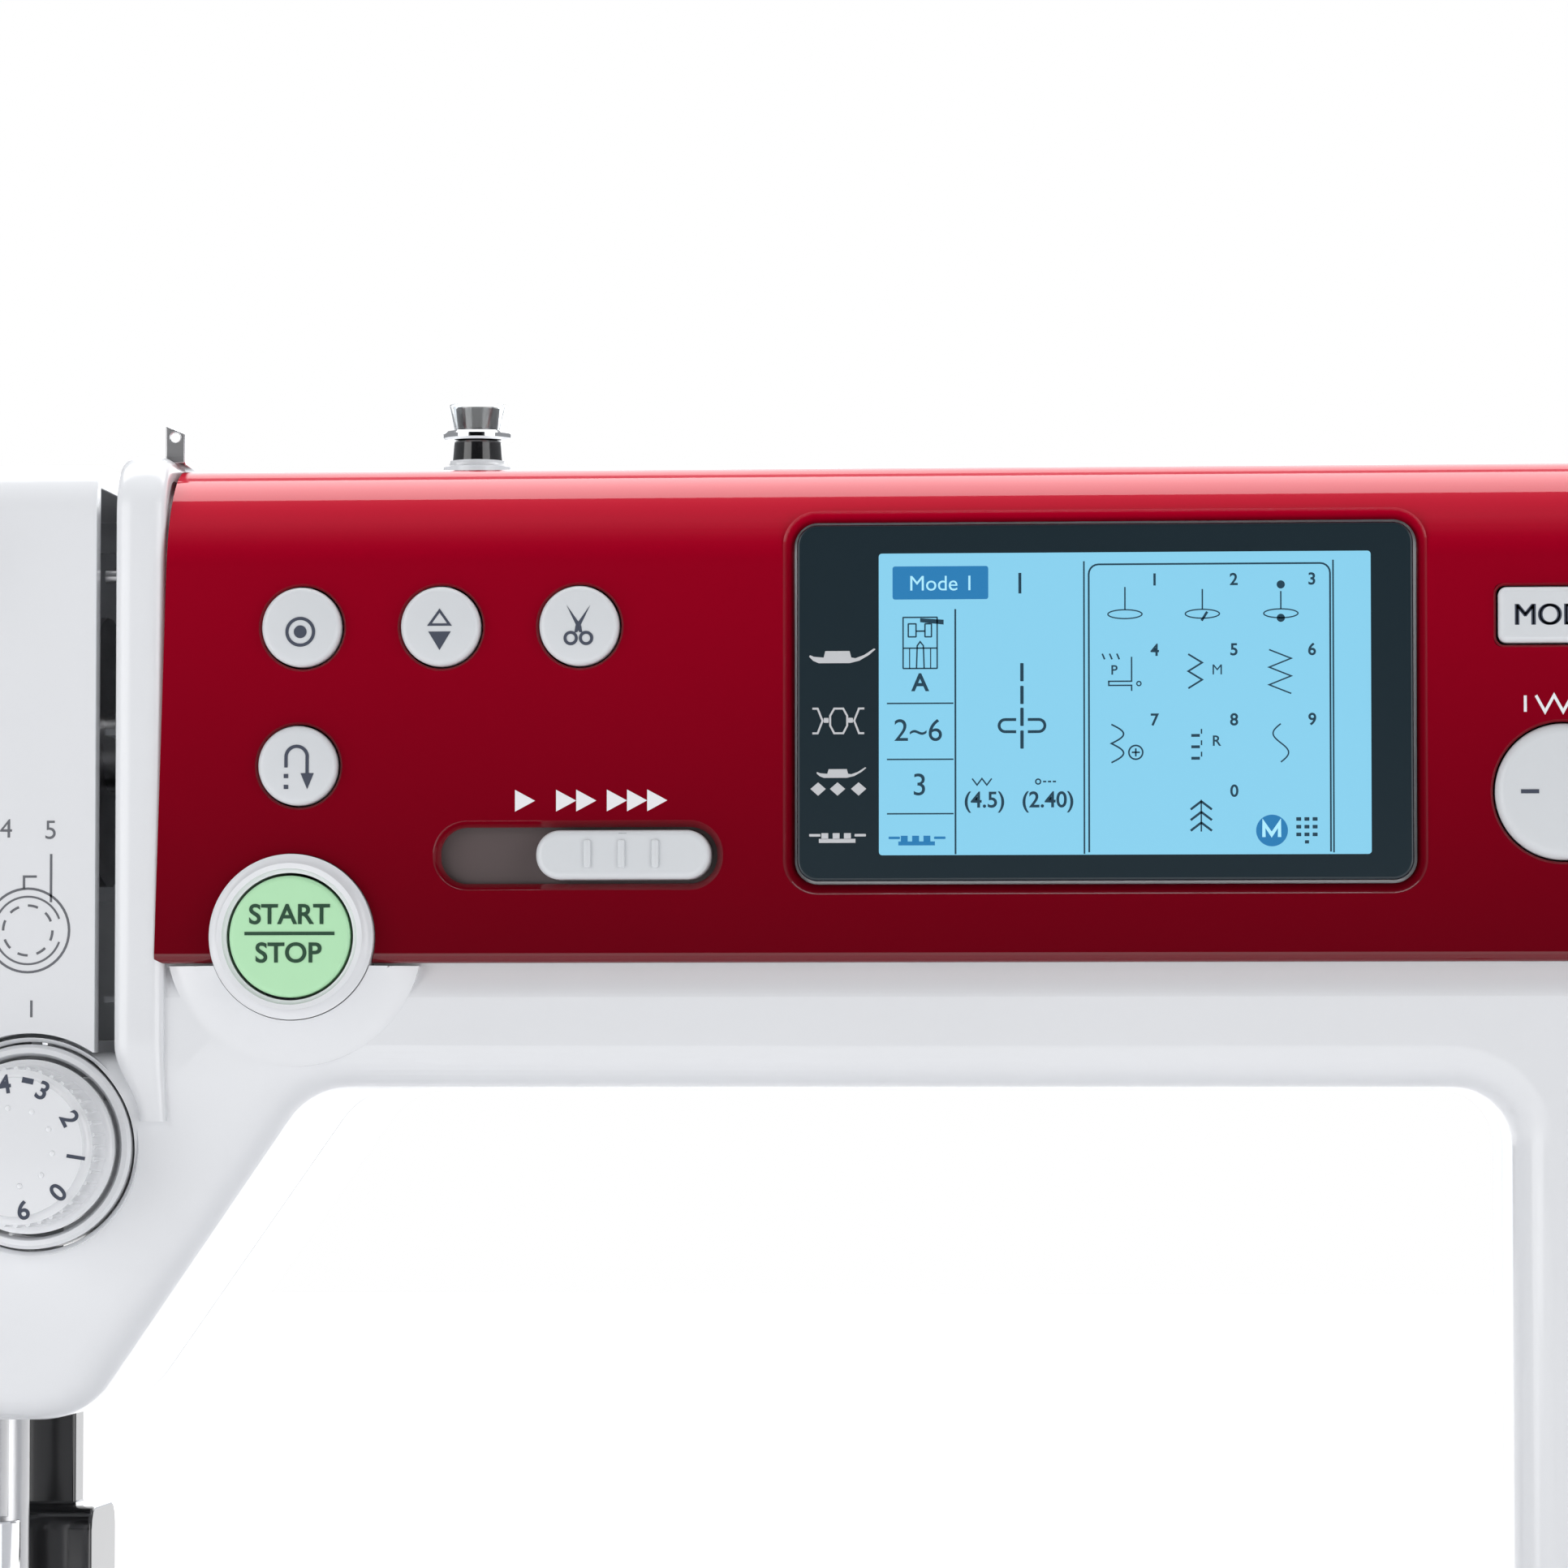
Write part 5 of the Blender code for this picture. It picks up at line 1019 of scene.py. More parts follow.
def panel_keys():
    for node in ("lock_key", "needle_key", "cutter_key", "reverse_key"):
        round_key(node, key_grey())
    lock = Print(face_middle("lock_key"))
    lock.arc((-0.05, 0.58), 1.58, 0, 360, 0.38, 48)
    lock.disc((-0.05, 0.58), 0.76)
    ink_key(lock, "lock_key")
    needle = Print(face_middle("needle_key"))
    needle.band([(-0.03, -1.84), (1.16, -0.18), (-1.22, -0.18)], 0.29, closed=True)
    needle.shape([(-1.36, 0.63), (1.31, 0.63), (-0.03, 2.82)])
    ink_key(needle, "needle_key")
    snips = Print(face_middle("cutter_key"))
    for side in (-1, 1):
        snips.arc((0.91 * side, 1.49), 0.67, 0, 360, 0.36)
        blade = [(1.38, -2.37), (-0.1, 0.78), (-0.48, 0.87), (-0.33, 0.01)]
        snips.shape([(u * side, v) for u, v in blade])
    ink_key(snips, "cutter_key")
    back = Print(face_middle("reverse_key"))
    back.arc((-0.03, -0.99), 1.26, -180, 0, 0.4)
    back.line((1.22, -0.99), (1.22, 1.29), width=0.4)
    back.line((-1.29, -0.99), (-1.29, 0.25), width=0.4)
    back.shape([(0.44, 0.91), (2.01, 0.91), (1.22, 2.82)])
    for v in (1.25, 2.53):
        back.rect(-1.56, -1.02, v - 0.25, v + 0.25, 0.04)
    ink_key(back, "reverse_key")


def ink_key(sheet, node):
    sheet.build(node + "_mark", 0, dark_ink(), BODY_OF[node], "grey_plastic", dome(node, 4.05, 0.14))


def start_stop():
    x, z = middle("start_ring")[0], middle("start_ring")[2]
    outer, inner = (high("start_ring", 0) - low("start_ring", 0)) / 2, 7.5
    front, back = low("start_ring", 1), high("start_ring", 1)
    profile = [(back, outer), (front + 1.4, outer)]
    profile += bow((front + 1.4, outer), (front, outer - 1.5), False, 8)[1:]
    profile += [(front - 0.05, (outer + inner) / 2)]
    profile += bow((front, inner + 0.5), (front + 0.6, inner), True, 6)
    profile += [(back, inner)]
    ring = turned("start_surround", "Y", (x, z), profile, white(), 120, closed=True, angle=40)
    settle(ring, "machine", "grey_plastic", "start_ring")
    lens = finish("start_lens", (0.46, 0.66, 0.48), 0.18, coat=0.8, mottle=0.02,
                  glow=(0.36, 0.80, 0.40), glow_strength=0.14)
    round_key("start_key", lens, 0.12, 0.5, "start_lens")
    words = Print(face_middle("start_key"))
    words.text("START", (0.05, -2.63), 2.38, bold=0.026)
    words.text("STOP", (-0.05, 1.89), 2.38, bold=0.026)
    words.band([(u, -0.35) for u in np.linspace(-5.29, 5.38, 13)], 0.41)
    ink = finish("start_ink", (0.006, 0.055, 0.022), 0.45, mottle=0.05)
    words.build("start_words", 0, ink, BODY_OF["start_key"], "start_lens", dome("start_key", 6.7, 0.12))
    r = np.linspace(outer + 5.5, outer + 0.1, 16)
    swell = -ARM_HALF - 0.03 - 2.2 * ((outer + 5.5 - r) / 5.4) ** 2
    pod = [(-48, outer + 5.5), *zip(swell, r), (-48, outer + 0.1)]
    skirt = turned("start_pod", "Y", (x, z), pod, white(), 120, closed=True, angle=50)
    floor = block_cutter(x - 20, x + 20, -60, -40, PANEL_BOTTOM - 0.3, PANEL_BOTTOM + 40)
    smooth(carve(skirt, [floor]), 30)
    settle(skirt, "machine", "white_shell")


def speed_control():
    node = "speed_slider"
    x0, x1, z0, z1 = low(node, 0), high(node, 0), low(node, 2), high(node, 2)
    front = low(node, 1)
    outline = rectangle(x0, x1, z0, z1, (z1 - z0) / 2 - 0.1, 12)
    knob = loft("speed_knob", soft_rings("Y", outline, PANEL_FRONT + 2.4, front, 0.8, 10), key_grey())
    settle(smooth(knob, 50), BODY_OF[node], "grey_plastic", node)
    ridges = []
    for shift in (-4.15, -0.15, 3.85):
        x = (x0 + x1) / 2 + shift
        outline = rectangle(x - 0.42, x + 0.42, z0 + 1.3, z1 - 1.1, 0.3, 8)
        ridges.append(loft("ridge", soft_rings("Y", outline, front + 0.3, front - 0.4, 0.25, 6), key_grey()))
    settle(smooth(join("knob_ridges", ridges)), BODY_OF[node], "grey_plastic")
    # Painted shade: a small dark rectangle on the knob's top edge stands in for the shade in its notch.
    notch = Print(((x0 + x1) / 2, z1))
    notch.rect(-0.48, 0.48, 0.38, 0.81, 0.05)
    notch.build("knob_notch_shade", front + 0.1, dark_ink(), BODY_OF[node], "grey_plastic")
    rings = [lift("Y", PANEL_FRONT + depth, slot_outline(0.8)) for depth in (2.6, 2.9)]
    floor = loft("slider_bed", rings, finish("slot_dark", (0.10, 0.075, 0.075), 0.35, mottle=0.08))
    settle(floor, "machine", "red_panel")
    marks = Print(face_middle(node))
    for start, count in ((-12.87, 1), (-8.01, 2), (-2.01, 3)):
        for k in range(count):
            u = start + 2.38 * k
            marks.shape([(u, -7.71), (u, -5.14), (u + 2.38, -6.42)])
    marks.build("speed_marks", PANEL_FRONT - 0.03, white_ink(), "machine", "red_panel")


def display():
    """The display window: its glass, the lit area and everything drawn on it."""
    node = "screen_window"
    front = low(node, 1)
    glass = finish("screen_glass", (0.010, 0.020, 0.030), 0.05, coat=0.5, mottle=0.1)
    window = loft("display_glass", soft_rings("Y", screen_outline(), high(node, 1), front, 0.35, 6), glass)
    smooth(window, 50)
    settle(window, "machine", "screen_glass", node)
    lit = finish("lcd_lit", (0.03, 0.07, 0.09), 0.2, coat=0.8, mottle=0.02,
                 glow=(0.24, 0.60, 0.81), glow_strength=1.0)
    area = Print(face_middle(node))
    area.rect(-26.41, 31.11, -17.51, 17.91, 0.38)
    area.build("display_lit_area", front - 0.02, lit, "machine", "lcd")
    deep = finish("lcd_blue", (0.01, 0.04, 0.08), 0.3, coat=0.8, mottle=0.03,
                  glow=(0.010, 0.17, 0.40), glow_strength=1.0)
    boxes = Print(face_middle(node))
    boxes.rect(-24.79, -13.55, -15.99, -12.09, 0.29)
    boxes.disc((19.53, 15.15), 1.85, 48)
    feed_mark(boxes, -25.27, 15.63)
    boxes.build("display_blue", front - 0.05, deep, "machine", "lcd")
    fore = Print(face_middle(node))
    fore.text("Mode 1", (-19.17, -13.99), 1.81)
    fore.line((18.59, 15.91), (18.59, 14.3), (19.49, 15.63), (20.4, 14.3), (20.4, 15.91), width=0.4)
    pale = finish("lcd_pale", (0.05, 0.09, 0.10), 0.3, mottle=0.02, glow=(0.38, 0.76, 0.92), glow_strength=1.0)
    fore.build("display_pale", front - 0.08, pale, "machine", "lcd")
    ink = Print(face_middle(node))
    display_left(ink)
    display_stitches(ink)
    shade = finish("lcd_ink", (0.008, 0.05, 0.085), 0.35, coat=0.6, mottle=0.05)
    ink.build("display_marks", front - 0.06, shade, "machine", "lcd")
    bezel_prints(front)


def display_left(ink):
    """The left half of the display: presser foot, tension, stitch sample, width and length."""
    ink.text("1", (-9.84, -13.94), 2.57)
    ink.line((-17.42, -10.94), (-17.42, 17.82), width=0.21)
    ink.line((-2.34, -16.47), (-2.34, 17.82), width=0.19)
    ink.line((26.73, -16.47), (26.73, 17.72), width=0.19)
    arch = rectangle(-1.78, 26.38, -16.09, 20.3, 1.14, 5)[:12]
    ink.band(np.concatenate(([(-1.78, 17.63)], arch, [(26.38, 17.63)])), 0.21)
    for v in (0.11, 6.68, 13.06):
        ink.line((-25.46, v), (-17.65, v), width=0.17)
    ink.text("A", (-21.55, -2.37), 2.1, bold=0.03)
    ink.text("2~6", (-21.79, 3.25), 2.67)
    ink.text("3", (-21.65, 9.63), 2.67)
    ink.frame(-23.55, -19.55, -9.99, -3.99, 0.05, 0.17)
    ink.line((-23.55, -6.37), (-19.55, -6.37), width=0.17)
    ink.frame(-22.94, -22.03, -9.23, -7.7, 0.05, 0.17)
    ink.frame(-20.98, -20.22, -9.23, -7.7, 0.05, 0.17)
    ink.line((-22.03, -8.37), (-20.98, -8.37), width=0.19)
    ink.band([(-21.98, -3.99), (-21.89, -6.66), (-21.55, -7.13), (-21.17, -6.66), (-21.08, -3.99)], 0.17)
    ink.line((-22.79, -6.37), (-22.79, -3.99), width=0.13)
    ink.line((-20.32, -6.37), (-20.32, -3.99), width=0.13)
    ink.shape([(-21.55, -9.89), (-18.79, -9.7), (-18.79, -9.13), (-21.55, -9.42)])
    for v in (-4.56, -1.89, 0.68, 3.34):
        ink.rect(-9.82, -9.42, v, v + 2.14, 0.08)
    for side in (-1, 1):
        a = np.radians(np.linspace(-90, 90, 13))
        bend = np.column_stack((-7.65 + 0.71 * np.cos(a), 2.77 + 0.71 * np.sin(a)))
        shape = np.concatenate(([(-8.94, 2.06)], bend, [(-8.94, 3.49)]))
        shape[:, 0] = side * (shape[:, 0] + 9.62) - 9.62
        ink.band(shape, 0.34)
    ink.text("(4.5)", (-14.03, 11.72), 1.9, bold=0.02)
    ink.text("(2.40)", (-6.6, 11.72), 1.9, bold=0.02)
    ink.band(zigzag(0, 0, 0.76, 2.29, 4)[:, ::-1] + (-14.32, 9.34), 0.17)
    ink.arc((-7.74, 9.34), 0.29, 0, 360, 0.17, 16)
    for u in (-7.17, -6.6, -6.03):
        ink.line((u, 9.34), (u + 0.38, 9.34), width=0.19)


def display_stitches(ink):
    """Ten small stitch pictures in three columns, each with its number."""
    rows = (-14.28, -6.04, 2.15, 10.49)
    columns = (5.92, 15.16, 24.26)
    for number in range(1, 10):
        ink.text(str(number), (columns[(number - 1) % 3], rows[(number - 1) // 3]), 1.43, bold=0.028)
    ink.text("0", (columns[1], rows[3]), 1.43, bold=0.028)
    for k, u in enumerate((2.45, 11.49, 20.64)):
        ink.line((u, -13.42 + 0.29 * k), (u, -10.75), width=0.17)
        a = np.radians(np.linspace(0, 360, 33))[:-1]
        ink.band(np.column_stack((u + 2 * np.cos(a), -10.23 + 0.52 * np.sin(a))), 0.15, closed=True)
    ink.line((11.4, -9.42), (12.06, -10.47), width=0.29)
    ink.disc((20.64, -13.61), 0.48)
    ink.disc((20.64, -9.7), 0.48)
    ink.line((0.45, -2.37), (3.21, -2.37), (3.21, -5.23), width=0.17)
    ink.line((3.21, -1.23), (3.21, -1.89), (0.54, -1.89), (0.54, -2.37), width=0.17)
    ink.arc((4.06, -2.09), 0.25, 0, 360, 0.15, 14)
    ink.text("P", (1.21, -3.7), 1.14, bold=0.02)
    for u in (-0.22, 0.64, 1.49):
        ink.line((u, -5.61), (u + 0.29, -4.94), width=0.19)
    ink.band(zigzag(10.64, -3.51, 1.62, 4, 4), 0.21)
    ink.text("M", (13.21, -3.7), 1.24)
    ink.band(zigzag(20.54, -3.42, 2.57, 5.14, 5), 0.17)
    t = np.linspace(0, 2 * math.pi, 33)
    ink.band(np.column_stack((0.83 + 1.43 * np.abs(np.sin(t)), 2.68 + 4.48 * t / (2 * math.pi))), 0.19)
    ink.arc((3.68, 5.96), 0.81, 0, 360, 0.19, 28)
    ink.line((3.21, 5.96), (4.16, 5.96), width=0.19)
    ink.line((3.68, 5.49), (3.68, 6.44), width=0.19)
    for v in (4.01, 5.34, 6.68):
        ink.rect(10.16, 11.16, v - 0.17, v + 0.17)
        ink.line((11.35, v - 0.76), (11.35, v - 0.19), width=0.17)
    ink.text("R", (13.16, 4.63), 1.24, bold=0.02)
    ink.band(np.column_stack((20.59 - 0.9 * np.sin(t), 2.68 + 4.48 * t / (2 * math.pi))), 0.17)
    ink.line((11.3, 11.53), (11.3, 15.25), width=0.17)
    for k in range(3):
        for side in (-1, 1):
            v = 11.72 + 1.24 * k
            ink.line((11.3, v), (11.3 + 1.24 * side, v + 0.95), width=0.27)
    for k in range(9):
        u, v = 22.64 + 0.95 * (k % 3), 13.82 + 0.9 * (k // 3)
        ink.rect(u - 0.29, u + 0.29, v - 0.21, v + 0.21, 0.05)
    ink.rect(23.35, 23.83, 16.3, 16.68, 0.05)


def bezel_prints(front):
    """Small pale pictures on the display's border: foot, tension, feed."""
    marks = Print(face_middle("screen_window"))
    foot = np.array([
        (0, 0.95), (0.48, 1.43), (1.14, 1.71), (4.76, 1.71), (5.9, 1.43), (7.05, 0.76), (7.81, 0.1), (7.62, 0),
        (6.48, 0.76), (5.43, 1.14), (4.95, 1.05), (4.76, 0.29), (1.9, 0.29), (1.71, 1.05), (0.57, 0.95), (0.1, 0.76),
    ])
    marks.shape(foot + (-34.6, -6.37))
    marks.shape(foot * (0.75, 0.72) + (-33.74, 7.58))
    middle_u = -31.17
    for side in (-1, 1):
        hook = [(3.05, 0.68), (2.43, 0.68), (1.86, 2.11), (2.43, 3.58), (3.05, 3.58)]
        marks.band([(middle_u + u * side, v) for u, v in hook], 0.23)
        at = middle_u + 1.43 * side
        marks.rect(at - 0.29, at + 0.29, 1.77, 2.34, 0.1)
        at = middle_u + 2.38 * side
        marks.shape([(at - 0.9, 10.11), (at, 9.34), (at + 0.9, 10.11), (at, 10.91)])
    hexagon = [(-31.65, 0.68), (-30.6, 0.68), (-30.13, 1.53), (-30.13, 2.68), (-30.6, 3.58), (-31.65, 3.58),
               (-32.13, 2.68), (-32.13, 1.53)]
    marks.band(hexagon, 0.23, closed=True)
    marks.shape([(-32.17, 10.11), (-31.27, 9.34), (-30.36, 10.11), (-31.27, 10.91)])
    feed_mark(marks, -34.6, 15.3)
    marks.build("bezel_marks", front - 0.04, pale_ink(), "machine", "screen_glass")


def feed_mark(marks, u, v):
    """A feed dog between two dashes: three square teeth on a bar."""
    marks.rect(u, u + 1.33, v + 0.1, v + 0.4, 0.08)
    marks.rect(u + 5.33, u + 6.67, v + 0.1, v + 0.4, 0.08)
    marks.rect(u + 1.14, u + 5.43, v + 0.67, v + 1.14)
    for k in range(3):
        marks.rect(u + 1.43 + 1.33 * k, u + 2.24 + 1.33 * k, v, v + 0.71)


def right_controls():
    node = "mode_key"
    front = low(node, 1)
    key = loft("mode_cap", soft_rings("Y", mode_outline(0), high(node, 1), front, 0.7, 8), key_grey())
    smooth(key, 50)
    settle(key, BODY_OF[node], "grey_plastic", node)
    word = Print(face_middle(node))
    for shift in (-0.086, 0.086):
        word.text("MODE", (shift, 0), 2.571)
    word.build("mode_word", front - 0.03, dark_ink(), BODY_OF[node], "grey_plastic")
    round_key("width_key", key_grey(), 0.14, 1.2)
    signs = Print(face_middle("width_key"))
    signs.line((-4.95, 0), (-2.86, 0), width=0.48)
    signs.line((2.86, 0), (4.95, 0), width=0.48)
    signs.line((3.905, -1.05), (3.905, 1.05), width=0.48)
    face = dome("width_key", 6.8, 0.14)
    signs.build("width_signs", 0, dark_ink(), BODY_OF["width_key"], "grey_plastic", face)
    marks = Print(face_middle("width_key"))
    marks.band(zigzag(0, 0, 1.905, 6.286, 6)[:, ::-1] + (0, -10.26), 0.343)
    for u in (-4.381, 4.381):
        marks.line((u, -11.21), (u, -9.31), width=0.343)
    marks.build("width_marks", PANEL_FRONT - 0.03, white_ink(), "machine", "red_panel")


# ---- tension dial -------------------------------------------------------------------------------


def tension():
    node = "tension_dial"
    front = low(node, 1) - 0.6
    base = -48.8
    face = 9.1
    profile = [(-31, 3), (base + 0.2, 3), (base + 0.2, 10.1)]
    profile += bow((base, 10.3), (base - 1.6, 10.3), False, 2)[1:]
    profile += bow((base - 1.6, 10.3), (base - 2.6, 9.4), False, 6)[1:]
    profile += [(front + 1.0, face)]
    profile += bow((front + 1.0, face), (front, face - 1.0), False, 8)[1:]
    r = np.linspace(face - 1.0, 0, 8)[1:]
    profile += list(zip(np.full(7, front) - 0.15 * (1 - (r / 8) ** 2), r))
    dial = turned("tension_dial_cap", "Y", DIAL, profile, white(), 120, angle=40)
    settle(dial, "dial", "white_shell", node)
    cx, cz = DIAL
    digits, dots = Print(DIAL), []
    for number in range(10):
        a = math.radians(99 + 36 * (number - 4))
        at = (7.43 * math.cos(a), -7.43 * math.sin(a))
        digits.text(str(number), at, 2.19, turn=90 - math.degrees(a), bold=0.03)
        at = (cx + 4.6 * math.cos(a), cz + 4.6 * math.sin(a))
        profile = [(front + 0.3, 0.42), (front - 0.02, 0.40), (front - 0.22, 0.28), (front - 0.28, 0)]
        dots.append(turned_rings("Y", at, profile, 20))
    digits.line((0.95, -7.9), (2.29, -7.62), width=0.67)
    digits.build("dial_digits", front - 0.05, dark_ink(), "dial", "white_shell",
                 lambda x, z: front - 0.19 + 0.15 * (((x - cx) ** 2 + (z - cz) ** 2) / 64))
    bumps = join("dial_dots", [loft("dot", rings, white()) for rings in dots])
    settle(smooth(bumps), "dial", "white_shell")
    grooves = []
    for k in range(40):
        a = math.radians(9 * k)
        ring = circle((cx + 9.15 * math.cos(a), cz + 9.15 * math.sin(a)), 0.28, 12)
        grooves.append(loft("ridge", [lift("Y", w, ring) for w in (base - 2.5, front + 1.2)], white()))
    settle(smooth(join("dial_ridges", grooves)), "dial", "white_shell")


# ---- fittings on the arm ------------------------------------------------------------------------


def top_fittings():
    x, y, _ = middle("winder_guide")
    z = low("winder_guide", 2)
    base = [(z, 4.2), (z + 1.4, 4.2)] + bow((z + 1.4, 4.2), (z + 2.2, 3.4), False, 6)[1:]
    settle(turned("winder_guide_base", "Z", (x, y), base, white(), 64, angle=50), "machine", "black_plastic")
    post = [(z + 2.2, 3.1), (z + 4.6, 2.9), (z + 4.7, 2.0), (z + 5, 2.0)]
    piece = turned("winder_guide_post", "Z", (x, y), post, black(), 64)
    settle(piece, "machine", "black_plastic", "winder_guide")
    disc = [(z + 4.7, 2.2), (z + 4.7, 4.0), (z + 5.0, 4.25), (z + 5.5, 4.25), (z + 5.8, 3.9), (z + 5.9, 2.4)]
    settle(turned("winder_guide_disc", "Z", (x, y), disc, chrome(), 80), "machine", "black_plastic")
    core = [(z + 5.6, 2.4), (z + 8.6, 2.7), (z + 8.8, 2.5), (z + 8.8, 0)]
    settle(turned("winder_guide_cap", "Z", (x, y), core, black(), 64, angle=45), "machine", "black_plastic")
    sleeve = [(z + 5.9, 2.9), (z + 8.9, 3.5), (z + 9.1, 3.45), (z + 9.1, 3.2), (z + 6.1, 2.6), (z + 5.9, 2.65)]
    glassy = finish("clear_sleeve", (0.92, 0.94, 0.95), 0.04, transmission=1.0, mottle=0.01)
    wall = turned("winder_guide_sleeve", "Z", (x, y), sleeve, glassy, 64, closed=True)
    settle(wall, "machine", "black_plastic")
    node = "thread_guide"
    x0, x1, y0 = low(node, 0), high(node, 0), low(node, 1)
    z0, z1 = low(node, 2), high(node, 2)
    section = rounded([(y0, z0 + 0.2, 0.0), (y0, z1, 0), (y0 + 0.7, z1, 0), (y0 + 0.7, z0 + 0.9, 0.6),
                       (high(node, 1), z0 + 0.9, 0), (high(node, 1), z0, 0), (y0 + 0.8, z0, 0)], 8)
    guide = loft("upper_guide", [lift("X", w, section) for w in (x0, x1)], steel())
    eye = hole("Y", ((x0 + x1) / 2, z1 - 1.7), 0.6, y0 - 1, y0 + 2, 32)
    corner = np.array(((x0 - 1, z1 + 1), (x0 - 1, z1 + 0.1), (x1 + 1, z1 - 1.7), (x1 + 1, z1 + 1)))
    slant = cutter("Y", corner, y0 - 1, y0 + 2)
    carve(guide, [eye, slant])
    bevel(guide, 0.12, 2)
    settle(smooth(guide, 50), "machine", "steel", node)
    winder()
    lid_and_handle()


def winder():
    node = "winder_spindle"
    x, y, _ = middle(node)
    top, z = high(node, 2), ARM_TOP + 0.3
    profile = [(low(node, 2), 3), (z, 3), (z, 7.6), (z + 0.5, 8)]
    profile += bow((z + 1.8, 8), (z + 2.5, 7.2), False, 6)
    profile += [(z + 2.5, 3.2), (z + 2.8, 2.8), (top - 1.4, 2.8)]
    profile += bow((top - 1.4, 2.8), (top, 1.2), False, 8)[1:] + [(top, 0)]
    spindle = turned("winder_post", "Z", (x, y), profile, black(), 80, angle=40)
    settle(spindle, "winder", "black_plastic", node)
    fins = []
    for k in range(3):
        a = math.radians(120 * k + 30)
        at = (x + 2.7 * math.cos(a), y + 2.7 * math.sin(a))
        profile = ((z + 2.4, 0.5), (top - 5, 0.5), (top - 4.4, 0.2))
        fins.append(loft("fin", [lift("Z", w, circle(at, r, 12)) for w, r in profile], black()))
    settle(smooth(join("winder_fins", fins)), "winder", "black_plastic")
    profile = [(ARM_TOP - 1, 4.5), (ARM_TOP + 3.5, 4.5)]
    profile += bow((ARM_TOP + 3.5, 4.5), (ARM_TOP + 4.5, 3.5), False, 6)[1:]
    stop = turned("winder_stop", "Z", (x + 16, y - 6), profile, key_grey(), 64, angle=50)
    settle(stop, "machine", "grey_plastic")


def lid_and_handle():
    node = "top_lid"
    outline = rectangle(low(node, 0), high(node, 0), low(node, 1), high(node, 1), 1.2, 10)
    lid = loft("spool_lid", soft_rings("Z", outline, low(node, 2), high(node, 2), 1.0, 8), white())
    settle(smooth(lid, 50), "lid", "white_shell", node)
    x, y = middle(node)[0], low(node, 1)
    outline = rectangle(x - 12, x + 12, y + 2, y + 4.4, 1.1, 8)
    rings = soft_rings("Z", outline, high(node, 2) - 0.5, high(node, 2) + 0.5, 0.45, 6)
    pull = loft("lid_pull", rings, white())
    settle(smooth(pull), "lid", "white_shell")
    refined("spool_tray", tray_grey(), 0.3)
    for node in ("spool_pin", "spool_cap"):
        refined(node, key_grey(), 0.25)
    node = "carry_handle"
    x0, x1, y, z1 = low(node, 0) + 6, high(node, 0) - 6, middle(node)[1], high(node, 2)
    z0 = low(node, 2)
    leg = rounded([(y - 4.5, z0, 2.5), (y + 4.5, z0, 2.5), (y + 4.5, z1, 4.4), (y - 4.5, z1, 4.4)], 16)
    grip = rounded([(y - 4.5, z0, 2.5), (y + 4.5, z0, 2.5), (y + 4.5, z0 + 14, 4), (y - 4.5, z0 + 14, 4)], 16)
    handle = loft("handle", [lift("X", x, leg) for x in (x0, x0 + 9)], white())
    joined = [cutter("X", leg, x1 - 9, x1), cutter("X", grip, x0 + 2, x1 - 2),
              hole("X", (y, z1 - 4.5), 3, x0 - 6, x0 + 2), hole("X", (y, z1 - 4.5), 3, x1 - 2, x1 + 6)]
    carve(handle, [], joined)
    bevel(handle, 0.8, 4, 50)
    settle(smooth(handle, 50), "handle", "grey_plastic", node)


def wheel():
    node = "handwheel"
    x0, x1 = low(node, 0), high(node, 0)
    at = (middle(node)[1], SHAFT_Z)
    radius = (high(node, 2) - low(node, 2)) / 2
    profile = [(x0, 5.3), (x0, radius - 3.5)] + bow((x0, radius - 3.5), (x0 + 3, radius), True, 10)[1:]
    profile += [(x1 - 5, radius)] + bow((x1 - 5, radius), (x1 - 0.2, radius - 5), False, 14)[1:]
    profile += [(x1 - 1.6, radius - 9), (x1 - 2.6, radius - 12), (x1 - 2.8, 14)]
    profile += bow((x1 - 2.8, 14), (x1, 10.5), True, 8)[1:]
    profile += [(x1, 6), (x1 - 0.1, 0), (x0 + 8.7, 0), (x0 + 8.7, 5.3)]
    rings = turned_rings("X", at, profile, 180)
    a = np.arctan2(rings[0][:, 2] - at[1], rings[0][:, 1] - at[0])
    notch = 0.55 * np.clip(np.cos(30 * a), 0, 1) ** 2
    shaped = []
    for (w, r), ring in zip(profile, rings):
        share = np.clip((r - radius + 1.2) / 1.2, 0, 1) * notch / max(r, 1)
        centre = np.array((w, *at))
        shaped.append(centre + (ring - centre) * (1 - share)[:, None])
    body = loft("hand_wheel", shaped, white(), closed=True)
    settle(smooth(body, 45), "top_drive", "white_shell", node)


# ---- needle, foot, hook and lifter --------------------------------------------------------------


